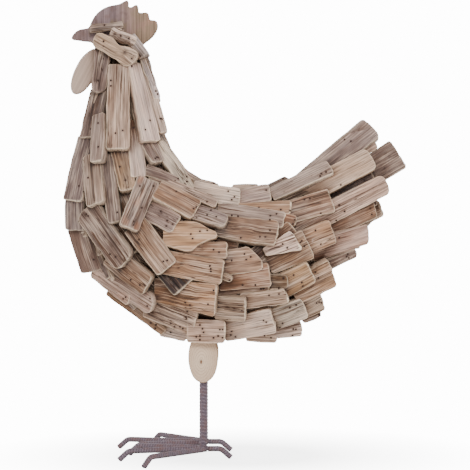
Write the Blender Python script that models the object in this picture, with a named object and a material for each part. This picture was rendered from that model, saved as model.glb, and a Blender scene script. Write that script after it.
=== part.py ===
"""Driftwood hen: a standing figure of weathered slats on two legs of ribbed steel bar.

Frame: +Z up, the hen looks towards -X and its left side faces -Y. The origin is on the
floor, under the middle of the figure. The figure is symmetric about the plane y = 0
apart from small differences between its two sides.
"""

import math
import random

import bmesh
import bpy
import numpy as np
from mathutils import Matrix, Vector

# Driving sizes, metres
HEN_HEIGHT = 0.500
GAP = 0.0003
SLAT_THICKNESS = 0.0095
CORNER_CUT = 0.0040
BOARD_THICKNESS = 0.0120
WATTLE_THICKNESS = 0.0080
LEG_BAR = 0.0091
TOE_BAR = 0.0062
LEG_SPACING = 0.0680
LEG_SOCKET = 0.0180
OUTER_TOE_LENGTH = 0.0850
MIDDLE_TOE_LENGTH = 0.0775
INNER_TOE_LENGTH = 0.0740
REAR_TOE_LENGTH = 0.0145
RIGHT_TOE_EXTRA = 0.0080  # how much further the right foot's middle toe reaches
TOE_HEIGHT = 0.0110
CLAW_REACH = 0.0125
BEND_RADIUS = 1.5  # of the toe bar's diameter
TIP_WEAR = 0.7  # how much of the claw's end stays above the floor
THIGH_WIDTH = 0.0320
THIGH_HEIGHT = 0.0540
THIGH_THICKNESS = 0.0180
CARCASS_INSET = 0.0120
CARCASS_LEAST = 0.0030
MERGE = 1e-6
EYE_DISTANCE = 2.0
CENTRE_SHIFT = 0.0023  # puts the origin under the middle of the whole length

# The free form below is written in steps of 1/500 of the figure's height
STEP = HEN_HEIGHT / 500

# Place of the legs and of the view axis of the side view, in steps
LEG_X = -38.7
THIGH_Z = 110.0
EYE_X = -4.4
EYE_Z = 242.0

# Directions of the toes seen from above, degrees off straight ahead, outwards positive
OUTER_TOE = 51
MIDDLE_TOE = 16
INNER_TOE = -15

# Fineness of the round pieces
WATTLE_POINTS = 18
THIGH_SIDES = 20
SOCKET_SIDES = 8
BAR_FINENESS = 1
TOE_BENDS = 3
SMOOTH_ANGLE = 40
CARCASS_SIDES = 14
CARCASS_RINGS = 17
CARCASS_ENDS = (0.9, 9.3)

# Middle line of the body from head to tail: x, z, half height, half depth
SPINE = (
    (-140, 470, 24, 17),
    (-130, 440, 28, 24),
    (-127, 405, 35, 34),
    (-128, 368, 44, 44),
    (-126, 322, 60, 58),
    (-116, 272, 78, 71),
    (-70, 222, 85, 79),
    (-2, 208, 86, 80),
    (53, 228, 76, 70),
    (93, 265, 56, 45),
    (127, 298, 54, 29),
    (165, 326, 46, 18),
)

# Outline of the head board: beak, face, comb of four points, and the tongue in the neck
BEAK = ((-163, 454), (-175, 456), (-184, 457), (-182, 463), (-176, 467.5), (-165, 468.5))
BROW = ((-164, 470), (-161, 479), (-155, 487), (-147, 493), (-140, 494.6), (-133, 495))
COMB_POINTS = ((-122, 500), (-112.5, 495.2), (-100.5, 486), (-92, 478.5))
COMB_NOTCHES = ((-120.5, 491.5), (-109.5, 485.2), (-98.3, 478))
POINT_WIDTH = 2.2
NAPE = ((-88.5, 472), (-91, 463), (-97, 456.5), (-106, 450.5))
TONGUE = ((-110, 420), (-118, 404), (-136, 404), (-146, 425), (-153, 448))

# Wattle: middle, half length, half width, and its lean from upright in degrees
WATTLE = (-168.8, 421.6, 27.5, 11.8, -27)

# Slats of one side: zone, own piece, front end x z, rear end x z, width at the front and
# rear end as seen from the side, and how far the outer face stands above the body's form at
# the two ends
SLATS = (
    ("neck", True, -133, 431, -134.5, 337, 24, 24, -3, 3),
    ("neck", True, -115, 432, -95, 345.5, 21, 23, -2, 4),
    ("nape", False, -108.5, 441, -90.5, 392, 11, 10, -4, 0),
    ("nape", False, -99.5, 414, -83.5, 356.5, 10, 10, -4, 0),
    ("neck", False, -156, 405, -168, 350, 20, 22, -10, -4),
    ("neck", True, -155, 376, -158, 323, 15, 15, -1, 4),
    ("neck", False, -168.5, 352, -183, 280, 19, 22, -8, 0),
    ("neck", True, -164, 332, -159, 276, 20, 20.5, -6.6, 2),
    ("neck", False, -146, 332, -137, 256, 17, 15, -7, 1),
    ("neck", False, -134, 342, -122, 292, 18, 18, -8, 0),
    ("neck", False, -117, 370, -110, 306, 15, 16, -8, 0),
    ("nape", False, -88.5, 345, -52, 293, 14, 13, -3, 1),
    ("breast", True, -99, 304, -121, 250, 24, 22, 2, 6),
    ("breast", False, -101, 271, -69, 254, 22, 22, -6, 0),
    ("breast", True, -90, 294, -46, 270, 22, 22, -1, 3),
    ("back", False, -103, 315, -65, 300, 14, 10, -4, 0),
    ("back", False, -98, 309, -24, 277, 10, 11, -5, 1),
    ("back", False, -52, 270, -13, 257, 18, 15, -3, 3),
    ("breast", False, -182, 283, -181, 247, 22, 23, -6, 0),
    ("breast", False, -179, 250, -162.5, 201, 24, 24, -8, -1),
    ("breast", True, -170, 271, -127, 210, 29, 26, -4, 3),
    ("breast", True, -116, 254, -79, 205, 28, 26, -4, 2),
    ("breast", False, -142, 217, -98, 189, 24, 22, -8, 1),
    ("breast", False, -158, 200, -96, 162, 20, 23, -9, 1),
    ("belly", True, -104, 161, -49, 143, 26, 27, -7, 2),
    ("belly", True, -94, 181, -26, 169, 26, 35, -6, 2),
    ("flank", False, -85, 197, -69, 183, 20, 18, -4, 0),
    ("flank", True, -76, 210, -18, 201, 28, 26, -6, 2),
    ("flank", True, -78, 241, -25, 240, 30, 14, -4, 4),
    ("flank", False, -70, 226, -13, 226, 17, 18, -7, 1),
    ("belly", False, -56, 136.5, -16, 135.5, 26, 25, -7, 1),
    ("back", False, -52, 293, 1, 284, 20, 20, -6, 1),
    ("back", False, -4, 282, 34, 290, 18, 19, -6, 1),
    ("flank", True, -26, 250, 43, 244, 24, 27, -6, 2),
    ("back", False, -2, 272, 57, 273, 10, 15, -8, 1),
    ("flank", False, 24, 236, 60, 255, 20, 18, -9, -2),
    ("flank", False, 27, 219, 65, 232, 16, 22, -4, 3),
    ("flank", False, -18, 211, 20, 217, 28, 22, -6, 1),
    ("flank", True, -23, 190, 34, 198, 20, 26, -7, 1),
    ("flank", True, 32, 210, 77, 232, 24, 34, -8, 1),
    ("belly", False, 2, 168, 53, 175, 16, 17, -7, 1),
    ("belly", False, -28, 161, 7, 158, 24, 25, -8, 1),
    ("belly", True, -19, 135.5, 38, 146.5, 25, 27, -8, 1),
    ("belly", False, 36, 147, 73, 161, 24, 23, -8, 0),
    ("rump", False, 48, 184, 80, 201, 26, 24, -7, 1),
    ("rump", False, 60, 178, 104, 200, 28, 30, -9, 0),
    ("rump", False, 66, 157, 95, 171, 20, 22, -10, -3),
    ("tail", True, 72, 233, 104, 246, 27, 27, -7, 1),
    ("tail", False, 82, 226, 144, 243.5, 20, 22, -9, -2),
    ("tail", True, 54, 267, 102, 281, 24, 26, -6, 2),
    ("tail", True, 88, 260, 163.5, 299, 24, 23, -8, 0),
    ("tail", True, 72, 287, 146, 327, 26, 27, -8, 0),
    ("tail", True, 70, 301, 146.5, 362.5, 25, 25, -11, -4),
    ("tail", False, 35, 287, 100.5, 318, 15, 16, -5, 2),
)

# Slats on the flat head board: as above, with the outer face's distance from the middle.
# They lie one, two or three boards deep on it, and the long cheek slat swings out over the
# neck at its rear end
ONE_DEEP = (BOARD_THICKNESS / 2 + SLAT_THICKNESS) / STEP + 0.5
TWO_DEEP = ONE_DEEP + 6.5
HEAD_SLATS = (
    ("cheek", True, -160, 460, -114, 434, 17, 18, TWO_DEEP, TWO_DEEP + 7.5),
    ("brow", False, -165, 469, -127, 471, 10, 9, ONE_DEEP, ONE_DEEP),
    ("brow", False, -141, 466, -114, 456, 12, 11, ONE_DEEP, ONE_DEEP + 2),
    ("cheek", False, -122, 468, -101, 440, 11, 12, ONE_DEEP, ONE_DEEP + 5),
    ("throat", False, -151, 443, -155, 399, 17, 15, ONE_DEEP, ONE_DEEP + 9),
)

# Slats of the tail beside the middle plane: front end x z, rear end x z, width at the front
# and rear end, and how far the outer face stands to the left at the two ends
MIDDLE_SLATS = (
    (98, 310, 151, 342, 13, 12, 7, 6),
    (96, 289, 171, 335, 24, 25, 3, 4.5),
    (96, 268, 182, 319, 18, 15, 6.5, 5.2),
    (84, 232, 133, 236, 20, 18, 5.6, 4),
    (84, 252, 150, 281, 22, 20, 4.2, 5.8),
)

# Rows that close the figure along its back and its underside: degrees round the body from
# the side towards the back, first and last place on the spine, slat width, and height of
# the outer face above the form at the front and rear end
RIM_ROWS = (
    (90, 1.7, 9.6, 20, -10, -3),
    (75, 1.9, 8.8, 20, -10, -3),
    (-35, 7.4, 10.4, 22, -10, -3),
    (-52, 7.0, 10.2, 22, -10, -3),
    (-63, 4.2, 7.8, 22, -14, -5),
    (-75, 1.4, 9.0, 21, -20, -11),
    (-90, 1.2, 8.6, 22, -18, -10),
)
RIM_LENGTH = 68
RIM_PITCH = 60
RIM_SAMPLES = 200
SECOND_ROW_START = 0.5
FAR_ROW_START = 0.6

# How far the far side's slats may differ from the near side's, in steps
FAR_SHIFT = 2.0
FAR_WIDTH = 1.5
FAR_HEIGHT = 0.8

WOODS = ((0.42, 0.30, 0.21), (0.47, 0.36, 0.28), (0.34, 0.27, 0.23), (0.52, 0.43, 0.33))
BOARD_COLOUR = (0.32, 0.22, 0.18)
PALE_COLOUR = (0.55, 0.45, 0.34)
STEEL_COLOUR = (0.20, 0.15, 0.14)


def clear_scene():
    for thing in list(bpy.data.objects):
        bpy.data.objects.remove(thing, do_unlink=True)


def new_collection(name):
    group = bpy.data.collections.new(name)
    bpy.context.scene.collection.children.link(group)
    return group


def material(name, colour, roughness, metallic=0.0):
    made = bpy.data.materials.new(name)
    made.use_nodes = True
    shader = made.node_tree.nodes["Principled BSDF"]
    shader.inputs["Base Color"].default_value = (*colour, 1.0)
    shader.inputs["Roughness"].default_value = roughness
    shader.inputs["Metallic"].default_value = metallic
    return made


def finish_mesh(bm, name, group, finish=None):
    bmesh.ops.recalc_face_normals(bm, faces=bm.faces)
    if bm.calc_volume(signed=True) < 0:
        bmesh.ops.reverse_faces(bm, faces=bm.faces)
    mesh = bpy.data.meshes.new(name)
    bm.to_mesh(mesh)
    bm.free()
    thing = bpy.data.objects.new(name, mesh)
    if finish:
        mesh.materials.append(finish)
    group.objects.link(thing)
    return thing


def hide_cutter(thing):
    thing.hide_render = True
    thing.display_type = "WIRE"


# The form: a spine with elliptical sections


def spine_point(place):
    """Middle, half height and half depth at a place counted in spine points."""
    count = len(SPINE)
    left = min(max(int(place), 0), count - 2)
    t = place - left
    rows = [SPINE[min(max(left + k, 0), count - 1)] for k in (-1, 0, 1, 2)]
    a, b, c, d = (np.array(row, dtype=float) for row in rows)
    return 0.5 * (2 * b + (c - a) * t + (2 * a - 5 * b + 4 * c - d) * t**2
                  + (3 * b - a - 3 * c + d) * t**3)


SPINE_STEPS = 20
SPINE_PLACES = np.arange((len(SPINE) - 1) * SPINE_STEPS + 1) / SPINE_STEPS
SPINE_POINTS = np.array([spine_point(place) for place in SPINE_PLACES])
RIM_LIMIT = 0.95  # how near the rim of a section a slat may lie
FACE_LIMIT = 0.55  # slats turn from the side no further than the form does at this share


def form_at(x, z):
    """Half depth of the form and its outward normal on the near side, at x and z."""
    away = np.hypot(SPINE_POINTS[:, 0] - x, SPINE_POINTS[:, 1] - z) / SPINE_POINTS[:, 2]
    middle_x, middle_z, half_height, half_depth = SPINE_POINTS[int(np.argmin(away))]
    out_x, out_z = x - middle_x, z - middle_z
    reach = math.hypot(out_x, out_z)
    share = min(reach / half_height, RIM_LIMIT)
    depth = half_depth * math.sqrt(max(1 - share**2, 0))
    if reach < MERGE:
        return depth, Vector((0, -1, 0))
    share = min(share, FACE_LIMIT)
    lean = share / half_height
    normal = Vector((out_x / reach * lean, -math.sqrt(1 - share**2) / half_depth,
                     out_z / reach * lean))
    return depth, normal.normalized()


def toward_eye(x, z, depth):
    """Where a point seen at x, z lies when it is nearer to the eye by this depth."""
    share = 1 - depth * STEP / EYE_DISTANCE
    return EYE_X + (x - EYE_X) * share, EYE_Z + (z - EYE_Z) * share


def place_on_form(x, z, height):
    depth, normal = form_at(*toward_eye(x, z, form_at(x, z)[0]))
    near_x, near_z = toward_eye(x, z, depth)
    return Vector((near_x, -(depth + height), near_z)), normal


def rim_point(place, angle, height):
    """Point and normal on the form, an angle round from the side towards the back."""
    x, z, half_height, half_depth = spine_point(place)
    ahead = spine_point(min(place + 1 / SPINE_STEPS, len(SPINE) - 1))
    behind = spine_point(max(place - 1 / SPINE_STEPS, 0))
    way = Vector((ahead[0] - behind[0], 0, ahead[1] - behind[1])).normalized()
    back = Vector((-way.z, 0, way.x))
    turn = math.radians(angle)
    normal = back * (math.sin(turn) / half_height) + Vector((0, -math.cos(turn) / half_depth, 0))
    normal.normalize()
    point = Vector((x, 0, z)) + back * (half_height * math.sin(turn))
    point.y = -half_depth * math.cos(turn)
    return point + normal * height, normal


# The slats


def slat_frame(front, rear, normal, far_side):
    """Matrix of a slat: along it, across it and out of its face, at its outer face."""
    if far_side:
        front, rear, normal = (Vector((v.x, -v.y, v.z)) for v in (front, rear, normal))
    along = (rear - front).normalized()
    out = (normal - along * normal.dot(along)).normalized()
    across = out.cross(along)
    turned = Matrix((along, across, out)).transposed().to_4x4()
    return Matrix.Translation((front + rear) / 2 * STEP) @ turned, (rear - front).length * STEP


def slat_mesh(frame, length, front_width, rear_width, corners, grow=0.0):
    """A plank whose outer face lies in the frame's plane; grow swells it on all sides."""
    bm = bmesh.new()
    bmesh.ops.create_cube(bm, size=1.0)
    for vert in bm.verts:
        width = front_width if vert.co.x < 0 else rear_width
        vert.co.x *= length + 2 * grow
        vert.co.y *= width + 2 * grow
        vert.co.z = vert.co.z * (SLAT_THICKNESS + 2 * grow) - SLAT_THICKNESS / 2
    if corners:
        upright = [e for e in bm.edges if abs(e.verts[0].co.z - e.verts[1].co.z) > GAP]
        bmesh.ops.bevel(bm, geom=upright, offset=CORNER_CUT, segments=1, affect="EDGES")
    bm.transform(frame)
    return bm


def side_rows(far_side):
    """Every slat of one side: zone, own piece, frame, length, widths, height of its face."""
    for index, row in enumerate(SLATS + HEAD_SLATS):
        zone, own, ax, az, bx, bz, front_width, rear_width, front_height, rear_height = row
        if far_side and index < len(SLATS):
            rng = random.Random(index)
            ax, az, bx, bz = (v + rng.uniform(-FAR_SHIFT, FAR_SHIFT) for v in (ax, az, bx, bz))
            front_width += rng.uniform(-FAR_WIDTH, FAR_WIDTH)
            rear_width += rng.uniform(-FAR_WIDTH, FAR_WIDTH)
            front_height += rng.uniform(-FAR_HEIGHT, FAR_HEIGHT)
            rear_height += rng.uniform(-FAR_HEIGHT, FAR_HEIGHT)
        if index < len(SLATS):
            front, _ = place_on_form(ax, az, front_height)
            rear, _ = place_on_form(bx, bz, rear_height)
            middle = (front + rear) / 2
            normal = form_at(middle.x, middle.z)[1]
            rank = front_height + rear_height + index * 1e-3
        else:
            near_front = toward_eye(ax, az, front_height)
            near_rear = toward_eye(bx, bz, rear_height)
            front = Vector((near_front[0], -front_height, near_front[1]))
            rear = Vector((near_rear[0], -rear_height, near_rear[1]))
            normal = Vector((0, -1, 0))
            rank = front_height + index * 1e-3
        frame, length = slat_frame(front, rear, normal, far_side)
        seen = math.hypot(frame[0][1], frame[2][1]) / STEP
        yield zone, own, frame, length, front_width / seen, rear_width / seen, rank


def rim_rows():
    """Frames of the slats along the back and the underside, both sides of the middle."""
    for number, row in enumerate(RIM_ROWS):
        angle, first, last, width, front_height, rear_height = row
        places = np.linspace(first, last, RIM_SAMPLES)
        points = [rim_point(place, angle, 0)[0] for place in places]
        steps = [(b - a).length for a, b in zip(points, points[1:])]
        run = np.concatenate(([0.0], np.cumsum(steps)))
        sides = (False,) if abs(angle) == 90 else (False, True)
        for far_side in sides:
            start = RIM_PITCH * SECOND_ROW_START * (number % 2)
            start *= FAR_ROW_START if far_side else 1.0
            while start + RIM_LENGTH < run[-1]:
                a = float(np.interp(start, run, places))
                b = float(np.interp(start + RIM_LENGTH, run, places))
                front, _ = rim_point(a, angle, front_height)
                rear, _ = rim_point(b, angle, rear_height)
                normal = rim_point((a + b) / 2, angle, 0)[1]
                frame, length = slat_frame(front, rear, normal, far_side)
                yield frame, length, width * STEP, width * STEP
                start += RIM_PITCH


def middle_rows():
    """Frames of the tail's slats that stand beside the middle plane."""
    for ax, az, bx, bz, front_width, rear_width, front_face, rear_face in MIDDLE_SLATS:
        front, rear = Vector((ax, -front_face, az)), Vector((bx, -rear_face, bz))
        frame, length = slat_frame(front, rear, Vector((0, -1, 0)), False)
        yield frame, length, front_width * STEP, rear_width * STEP


# Joining and cutting


def applied(thing):
    """Puts the evaluated mesh in place of the object's mesh and modifiers."""
    graph = bpy.context.evaluated_depsgraph_get()
    mesh = bpy.data.meshes.new_from_object(thing.evaluated_get(graph))
    thing.modifiers.clear()
    thing.data = mesh


def keep_outer_body(thing):
    """Keeps the largest closed shell: crumbs and the skins of sealed gaps go."""
    bm = bmesh.new()
    bm.from_mesh(thing.data)
    bmesh.ops.remove_doubles(bm, verts=bm.verts, dist=MERGE)
    left = set(bm.faces)
    shells = []
    while left:
        shell = {left.pop()}
        waiting = list(shell)
        while waiting:
            face = waiting.pop()
            for edge in face.edges:
                for other in edge.link_faces:
                    if other in left:
                        left.discard(other)
                        shell.add(other)
                        waiting.append(other)
        shells.append(shell)
    largest = max(shells, key=shell_volume)
    drop = [face for shell in shells if shell is not largest for face in shell]
    bmesh.ops.delete(bm, geom=drop, context="FACES")
    bm.to_mesh(thing.data)
    bm.free()


def shell_volume(shell):
    total = 0.0
    for face in shell:
        first = face.verts[0].co
        for one, two in zip(face.verts[1:-1], face.verts[2:]):
            total += first.dot(one.co.cross(two.co)) / 6
    return total


def join_all(thing, group):
    """One exact union with everything in a collection."""
    step = thing.modifiers.new("union", "BOOLEAN")
    step.operation = "UNION"
    step.operand_type = "COLLECTION"
    step.collection = group
    step.solver = "EXACT"
    applied(thing)
    keep_outer_body(thing)


def cut_seats(thing, seats, solver="EXACT"):
    """Takes each neighbour's seat out of a piece, one after the other."""
    for seat in seats:
        if overlaps(thing, seat):
            step = thing.modifiers.new("seat", "BOOLEAN")
            step.operation = "DIFFERENCE"
            step.object = seat
            step.solver = solver
    applied(thing)
    keep_outer_body(thing)


# The pieces


def make_head_board(group, finish, name, grow=0.0):
    outline = [Vector(p) for p in BEAK + BROW]
    notches = COMB_NOTCHES + NAPE[:1]
    for (x, z), notch in zip(COMB_POINTS, notches):
        outline.append(Vector((x - POINT_WIDTH, z - POINT_WIDTH / 3)))
        outline.append(Vector((x, z)))
        outline.append(Vector((x + POINT_WIDTH, z - POINT_WIDTH)))
        outline.append(Vector(notch))
    outline += [Vector(p) for p in NAPE[1:] + TONGUE]
    return flat_board(outline, BOARD_THICKNESS, name, group, finish, grow)


def make_wattle(group, finish, name, grow=0.0):
    x, z, half_length, half_width, lean = WATTLE
    turn = math.radians(lean)
    outline = []
    for k in range(WATTLE_POINTS):
        angle = 2 * math.pi * k / WATTLE_POINTS
        across, along = half_width * math.sin(angle), half_length * math.cos(angle)
        outline.append(Vector((x + across * math.cos(turn) - along * math.sin(turn),
                               z + across * math.sin(turn) + along * math.cos(turn))))
    return flat_board(outline, WATTLE_THICKNESS, name, group, finish, grow)


def flat_board(outline, thickness, name, group, finish, grow):
    """An upright board in the middle plane from its outline, as a filled 2D curve."""
    curve = bpy.data.curves.new(name, "CURVE")
    curve.dimensions = "2D"
    curve.fill_mode = "BOTH"
    curve.extrude = thickness / 2 + grow
    curve.offset = grow
    spline = curve.splines.new("POLY")
    spline.points.add(len(outline) - 1)
    for point, place in zip(spline.points, outline):
        point.co = (place.x * STEP, place.y * STEP, 0, 1)
    spline.use_cyclic_u = True
    flat = bpy.data.objects.new(name + "_outline", curve)
    flat.matrix_world = Matrix.Rotation(math.radians(90), 4, "X")
    return curve_to_mesh(flat, name, group, finish)


def curve_to_mesh(source, name, group, finish, floor_cut=False):
    bpy.context.scene.collection.objects.link(source)
    graph = bpy.context.evaluated_depsgraph_get()
    mesh = bpy.data.meshes.new_from_object(source.evaluated_get(graph))
    mesh.transform(source.matrix_basis)
    bm = bmesh.new()
    bm.from_mesh(mesh)
    bpy.data.meshes.remove(mesh)
    bmesh.ops.remove_doubles(bm, verts=bm.verts, dist=MERGE)
    if floor_cut:
        everything = bm.verts[:] + bm.edges[:] + bm.faces[:]
        bmesh.ops.bisect_plane(bm, geom=everything, plane_co=(0, 0, 0), plane_no=(0, 0, -1),
                               clear_outer=True)
        bmesh.ops.holes_fill(bm, edges=[e for e in bm.edges if e.is_boundary])
    data = source.data
    bpy.data.objects.remove(source, do_unlink=True)
    bpy.data.curves.remove(data)
    return finish_mesh(bm, name, group, finish)


def make_bar(points, diameter, name, group, finish, floor_cut=False):
    curve = bpy.data.curves.new(name, "CURVE")
    curve.dimensions = "3D"
    curve.bevel_depth = diameter / 2
    curve.bevel_resolution = BAR_FINENESS
    curve.use_fill_caps = True
    spline = curve.splines.new("POLY")
    spline.points.add(len(points) - 1)
    for point, place in zip(spline.points, points):
        point.co = (*place, 1)
    source = bpy.data.objects.new(name + "_path", curve)
    bar = curve_to_mesh(source, name, group, finish, floor_cut)
    bar.data.shade_smooth()
    bar.data.set_sharp_from_angle(angle=math.radians(SMOOTH_ANGLE))
    return bar


def toe_points(start, heading, length):
    """A straight toe that bends down into a claw with its tip on the floor."""
    along = Vector((math.cos(heading), math.sin(heading), 0))
    slope = math.atan2(TOE_HEIGHT, CLAW_REACH)
    radius = TOE_BAR * BEND_RADIUS
    points = [start]
    bend_start = length - radius * math.tan(slope / 2)
    for k in range(TOE_BENDS + 1):
        angle = slope * k / TOE_BENDS
        out = bend_start + radius * math.sin(angle)
        points.append(start + along * out - Vector((0, 0, radius * (1 - math.cos(angle)))))
    left = points[-1].z - TOE_BAR / 2 * math.cos(slope) * TIP_WEAR
    points.append(points[-1] + (along * math.cos(slope) - Vector((0, 0, math.sin(slope))))
                  * (left / math.sin(slope)))
    return points


def make_leg(side, group, finish):
    """One leg bar with three front toes and a rear toe set against it."""
    sign = -1 if side == "left" else 1
    x, y = LEG_X * STEP, sign * LEG_SPACING / 2
    ankle = Vector((x, y, TOE_HEIGHT))
    top = THIGH_Z * STEP - THIGH_HEIGHT / 2 + LEG_SOCKET
    foot = TOE_HEIGHT - TOE_BAR / 2
    make_bar([Vector((x, y, foot)), Vector((x, y, top))], LEG_BAR, f"leg_bar_{side}", group, finish)
    beside = LEG_BAR / 2 + TOE_BAR / 2 + GAP
    ahead = LEG_BAR / 2 + GAP
    toes = (
        ("outer", OUTER_TOE, Vector((0, sign * beside, 0)), OUTER_TOE_LENGTH),
        ("middle", MIDDLE_TOE, Vector((-ahead, 0, 0)), MIDDLE_TOE_LENGTH),
        ("inner", INNER_TOE, Vector((0, -sign * beside, 0)), INNER_TOE_LENGTH),
    )
    for name, splay, offset, length in toes:
        heading = math.pi - sign * math.radians(splay)
        if (name, side) == ("middle", "right"):
            length += RIGHT_TOE_EXTRA
        points = toe_points(ankle + offset, heading, length)
        make_bar(points, TOE_BAR, f"{name}_toe_{side}", group, finish, floor_cut=True)
    points = toe_points(ankle + Vector((ahead, 0, 0)), 0.0, REAR_TOE_LENGTH)
    make_bar(points, TOE_BAR, f"rear_toe_{side}", group, finish, floor_cut=True)


def make_thigh(side, group, finish, name, grow=0.0):
    """A slice of branch with its cut faces to the sides, cross-cut oval."""
    y = (-1 if side == "left" else 1) * LEG_SPACING / 2
    bm = bmesh.new()
    bmesh.ops.create_cone(bm, cap_ends=True, segments=THIGH_SIDES, radius1=0.5, radius2=0.5, depth=1.0)
    size = (THIGH_WIDTH + 2 * grow, THIGH_HEIGHT + 2 * grow, THIGH_THICKNESS + 2 * grow)
    bmesh.ops.scale(bm, vec=size, verts=bm.verts)
    turn = Matrix.Rotation(math.radians(90), 4, "X")
    bm.transform(Matrix.Translation((LEG_X * STEP, y, THIGH_Z * STEP)) @ turn)
    return finish_mesh(bm, name, group, finish)


def drill_thigh(thigh, side, sockets):
    bm = bmesh.new()
    depth = LEG_SOCKET * 2
    radius = LEG_BAR / 2 + 2 * GAP
    bmesh.ops.create_cone(bm, cap_ends=True, segments=SOCKET_SIDES, radius1=radius,
                          radius2=radius, depth=depth)
    y = (-1 if side == "left" else 1) * LEG_SPACING / 2
    top = THIGH_Z * STEP - THIGH_HEIGHT / 2 + LEG_SOCKET + GAP
    bm.transform(Matrix.Translation((LEG_X * STEP, y, top - depth / 2)))
    socket = finish_mesh(bm, f"socket_{side}", sockets)
    hide_cutter(socket)
    step = thigh.modifiers.new("socket", "BOOLEAN")
    step.operation = "DIFFERENCE"
    step.object = socket
    step.solver = "EXACT"


def make_carcass(group, finish):
    """The solid wood inside that the slats sit on, a loft of ellipses along the spine."""
    bm = bmesh.new()
    rings = []
    for place in np.linspace(*CARCASS_ENDS, CARCASS_RINGS):
        x, z, half_height, half_depth = spine_point(place)
        share_up = max(half_height - CARCASS_INSET / STEP, CARCASS_LEAST / STEP) / half_height
        share_deep = max(half_depth - CARCASS_INSET / STEP, CARCASS_LEAST / STEP) / half_depth
        ring = []
        for k in range(CARCASS_SIDES):
            point, _ = rim_point(place, 360 * k / CARCASS_SIDES, 0)
            inset = Vector((x + (point.x - x) * share_up, point.y * share_deep,
                            z + (point.z - z) * share_up))
            ring.append(bm.verts.new(inset * STEP))
        rings.append(ring)
    for one, two in zip(rings, rings[1:]):
        for k in range(CARCASS_SIDES):
            after = (k + 1) % CARCASS_SIDES
            bm.faces.new((one[k], one[after], two[after], two[k]))
    bm.faces.new(rings[0])
    bm.faces.new(rings[-1])
    return finish_mesh(bm, "driftwood_body", group, finish)


def overlaps(one, two):
    a = [one.matrix_world @ Vector(c) for c in one.bound_box]
    b = [two.matrix_world @ Vector(c) for c in two.bound_box]
    return all(min(p[k] for p in a) < max(p[k] for p in b)
               and min(p[k] for p in b) < max(p[k] for p in a) for k in range(3))


def main():
    clear_scene()
    hen = new_collection("driftwood_hen")
    cutters = new_collection("cutters")
    joined = new_collection("joined_slats")
    sockets = new_collection("sockets")
    steel = material("ribbed_steel", STEEL_COLOUR, 0.55, 0.8)
    board_wood = material("head_board_wood", BOARD_COLOUR, 0.8)
    pale_wood = material("cut_branch_wood", PALE_COLOUR, 0.8)
    woods = [material(f"driftwood_{k + 1}", colour, 0.85) for k, colour in enumerate(WOODS)]

    make_head_board(hen, board_wood, "head_board")
    hide_cutter(make_head_board(cutters, None, "head_board_seat", GAP))
    make_wattle(hen, pale_wood, "wattle")
    hide_cutter(make_wattle(cutters, None, "wattle_seat", GAP))
    for side in ("left", "right"):
        drill_thigh(make_thigh(side, hen, pale_wood, f"thigh_{side}"), side, sockets)
        hide_cutter(make_thigh(side, cutters, None, f"thigh_seat_{side}", GAP))
        make_leg(side, hen, steel)

    fixed = list(cutters.objects)
    own = []
    for side in ("left", "right"):
        numbers = {}
        for index, (zone, is_own, frame, length, *widths, rank) in enumerate(
                side_rows(side == "right")):
            if not is_own:
                bm = slat_mesh(frame, length, *widths, corners=False)
                hide_cutter(finish_mesh(bm, f"joined_{side}_{index}", joined))
                continue
            numbers[zone] = numbers.get(zone, 0) + 1
            name = f"{zone}_slat_{side}_{numbers[zone]}"
            slat = finish_mesh(slat_mesh(frame, length, *widths, corners=True), name, hen,
                               woods[index % len(woods)])
            seat = finish_mesh(slat_mesh(frame, length, *widths, corners=False, grow=GAP),
                               f"{name}_seat", cutters)
            hide_cutter(seat)
            own.append((rank, slat, seat))
    for index, (frame, length, *widths) in enumerate([*rim_rows(), *middle_rows()]):
        bm = slat_mesh(frame, length, *widths, corners=False)
        hide_cutter(finish_mesh(bm, f"rim_slat_{index}", joined))

    for rank, slat, _ in own:
        cut_seats(slat, fixed + [seat for other_rank, _, seat in own if other_rank > rank])

    # The exact solver loses this many-sided body at one of its seats, the manifold one keeps it
    body = make_carcass(hen, woods[2])
    join_all(body, joined)
    cut_seats(body, cutters.objects, "MANIFOLD")
    for thing in [*hen.objects, *sockets.objects]:
        thing.data.transform(Matrix.Translation((CENTRE_SHIFT, 0, 0)))


main()
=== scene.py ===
import math
import random

import bmesh
import bpy
import numpy as np
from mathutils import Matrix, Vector


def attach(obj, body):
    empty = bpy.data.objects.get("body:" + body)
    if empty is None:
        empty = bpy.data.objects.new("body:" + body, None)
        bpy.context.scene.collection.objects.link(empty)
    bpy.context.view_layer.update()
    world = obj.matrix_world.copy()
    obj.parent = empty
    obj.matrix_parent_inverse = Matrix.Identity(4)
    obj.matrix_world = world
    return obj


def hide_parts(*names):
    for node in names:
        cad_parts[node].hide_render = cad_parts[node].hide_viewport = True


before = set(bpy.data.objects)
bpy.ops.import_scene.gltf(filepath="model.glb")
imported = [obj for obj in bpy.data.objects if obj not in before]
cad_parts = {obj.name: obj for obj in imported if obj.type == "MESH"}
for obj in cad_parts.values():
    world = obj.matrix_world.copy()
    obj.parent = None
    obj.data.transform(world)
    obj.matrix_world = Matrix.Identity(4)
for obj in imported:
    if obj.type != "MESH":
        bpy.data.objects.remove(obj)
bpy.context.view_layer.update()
print("frame:", len(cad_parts), "solids to dress")

# Lengths below are in millimetres and become metres when a mesh is made.
# Grain runs along each slat, and every piece carries its grain place, tone and wear as attributes.
# The tone holds painted shade in the crevices, and the wear a painted highlight on the slats' edges.

sizes = {
    "slatThickness": 9.5,
    "boardThickness": 12.0,
    "wattleThickness": 8.0,
    "legBar": 9.1,
    "toeBar": 6.2,
    "legSpacing": 68.0,
    "legX": -38.7,
    "thighZ": 110.0,
    "toeHeight": 11.0,
    "eye": (-4.4, -2000.0, 242.0),
    "centreShift": 2.3,  # moves everything so that the origin lies under the middle of the length
}


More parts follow.
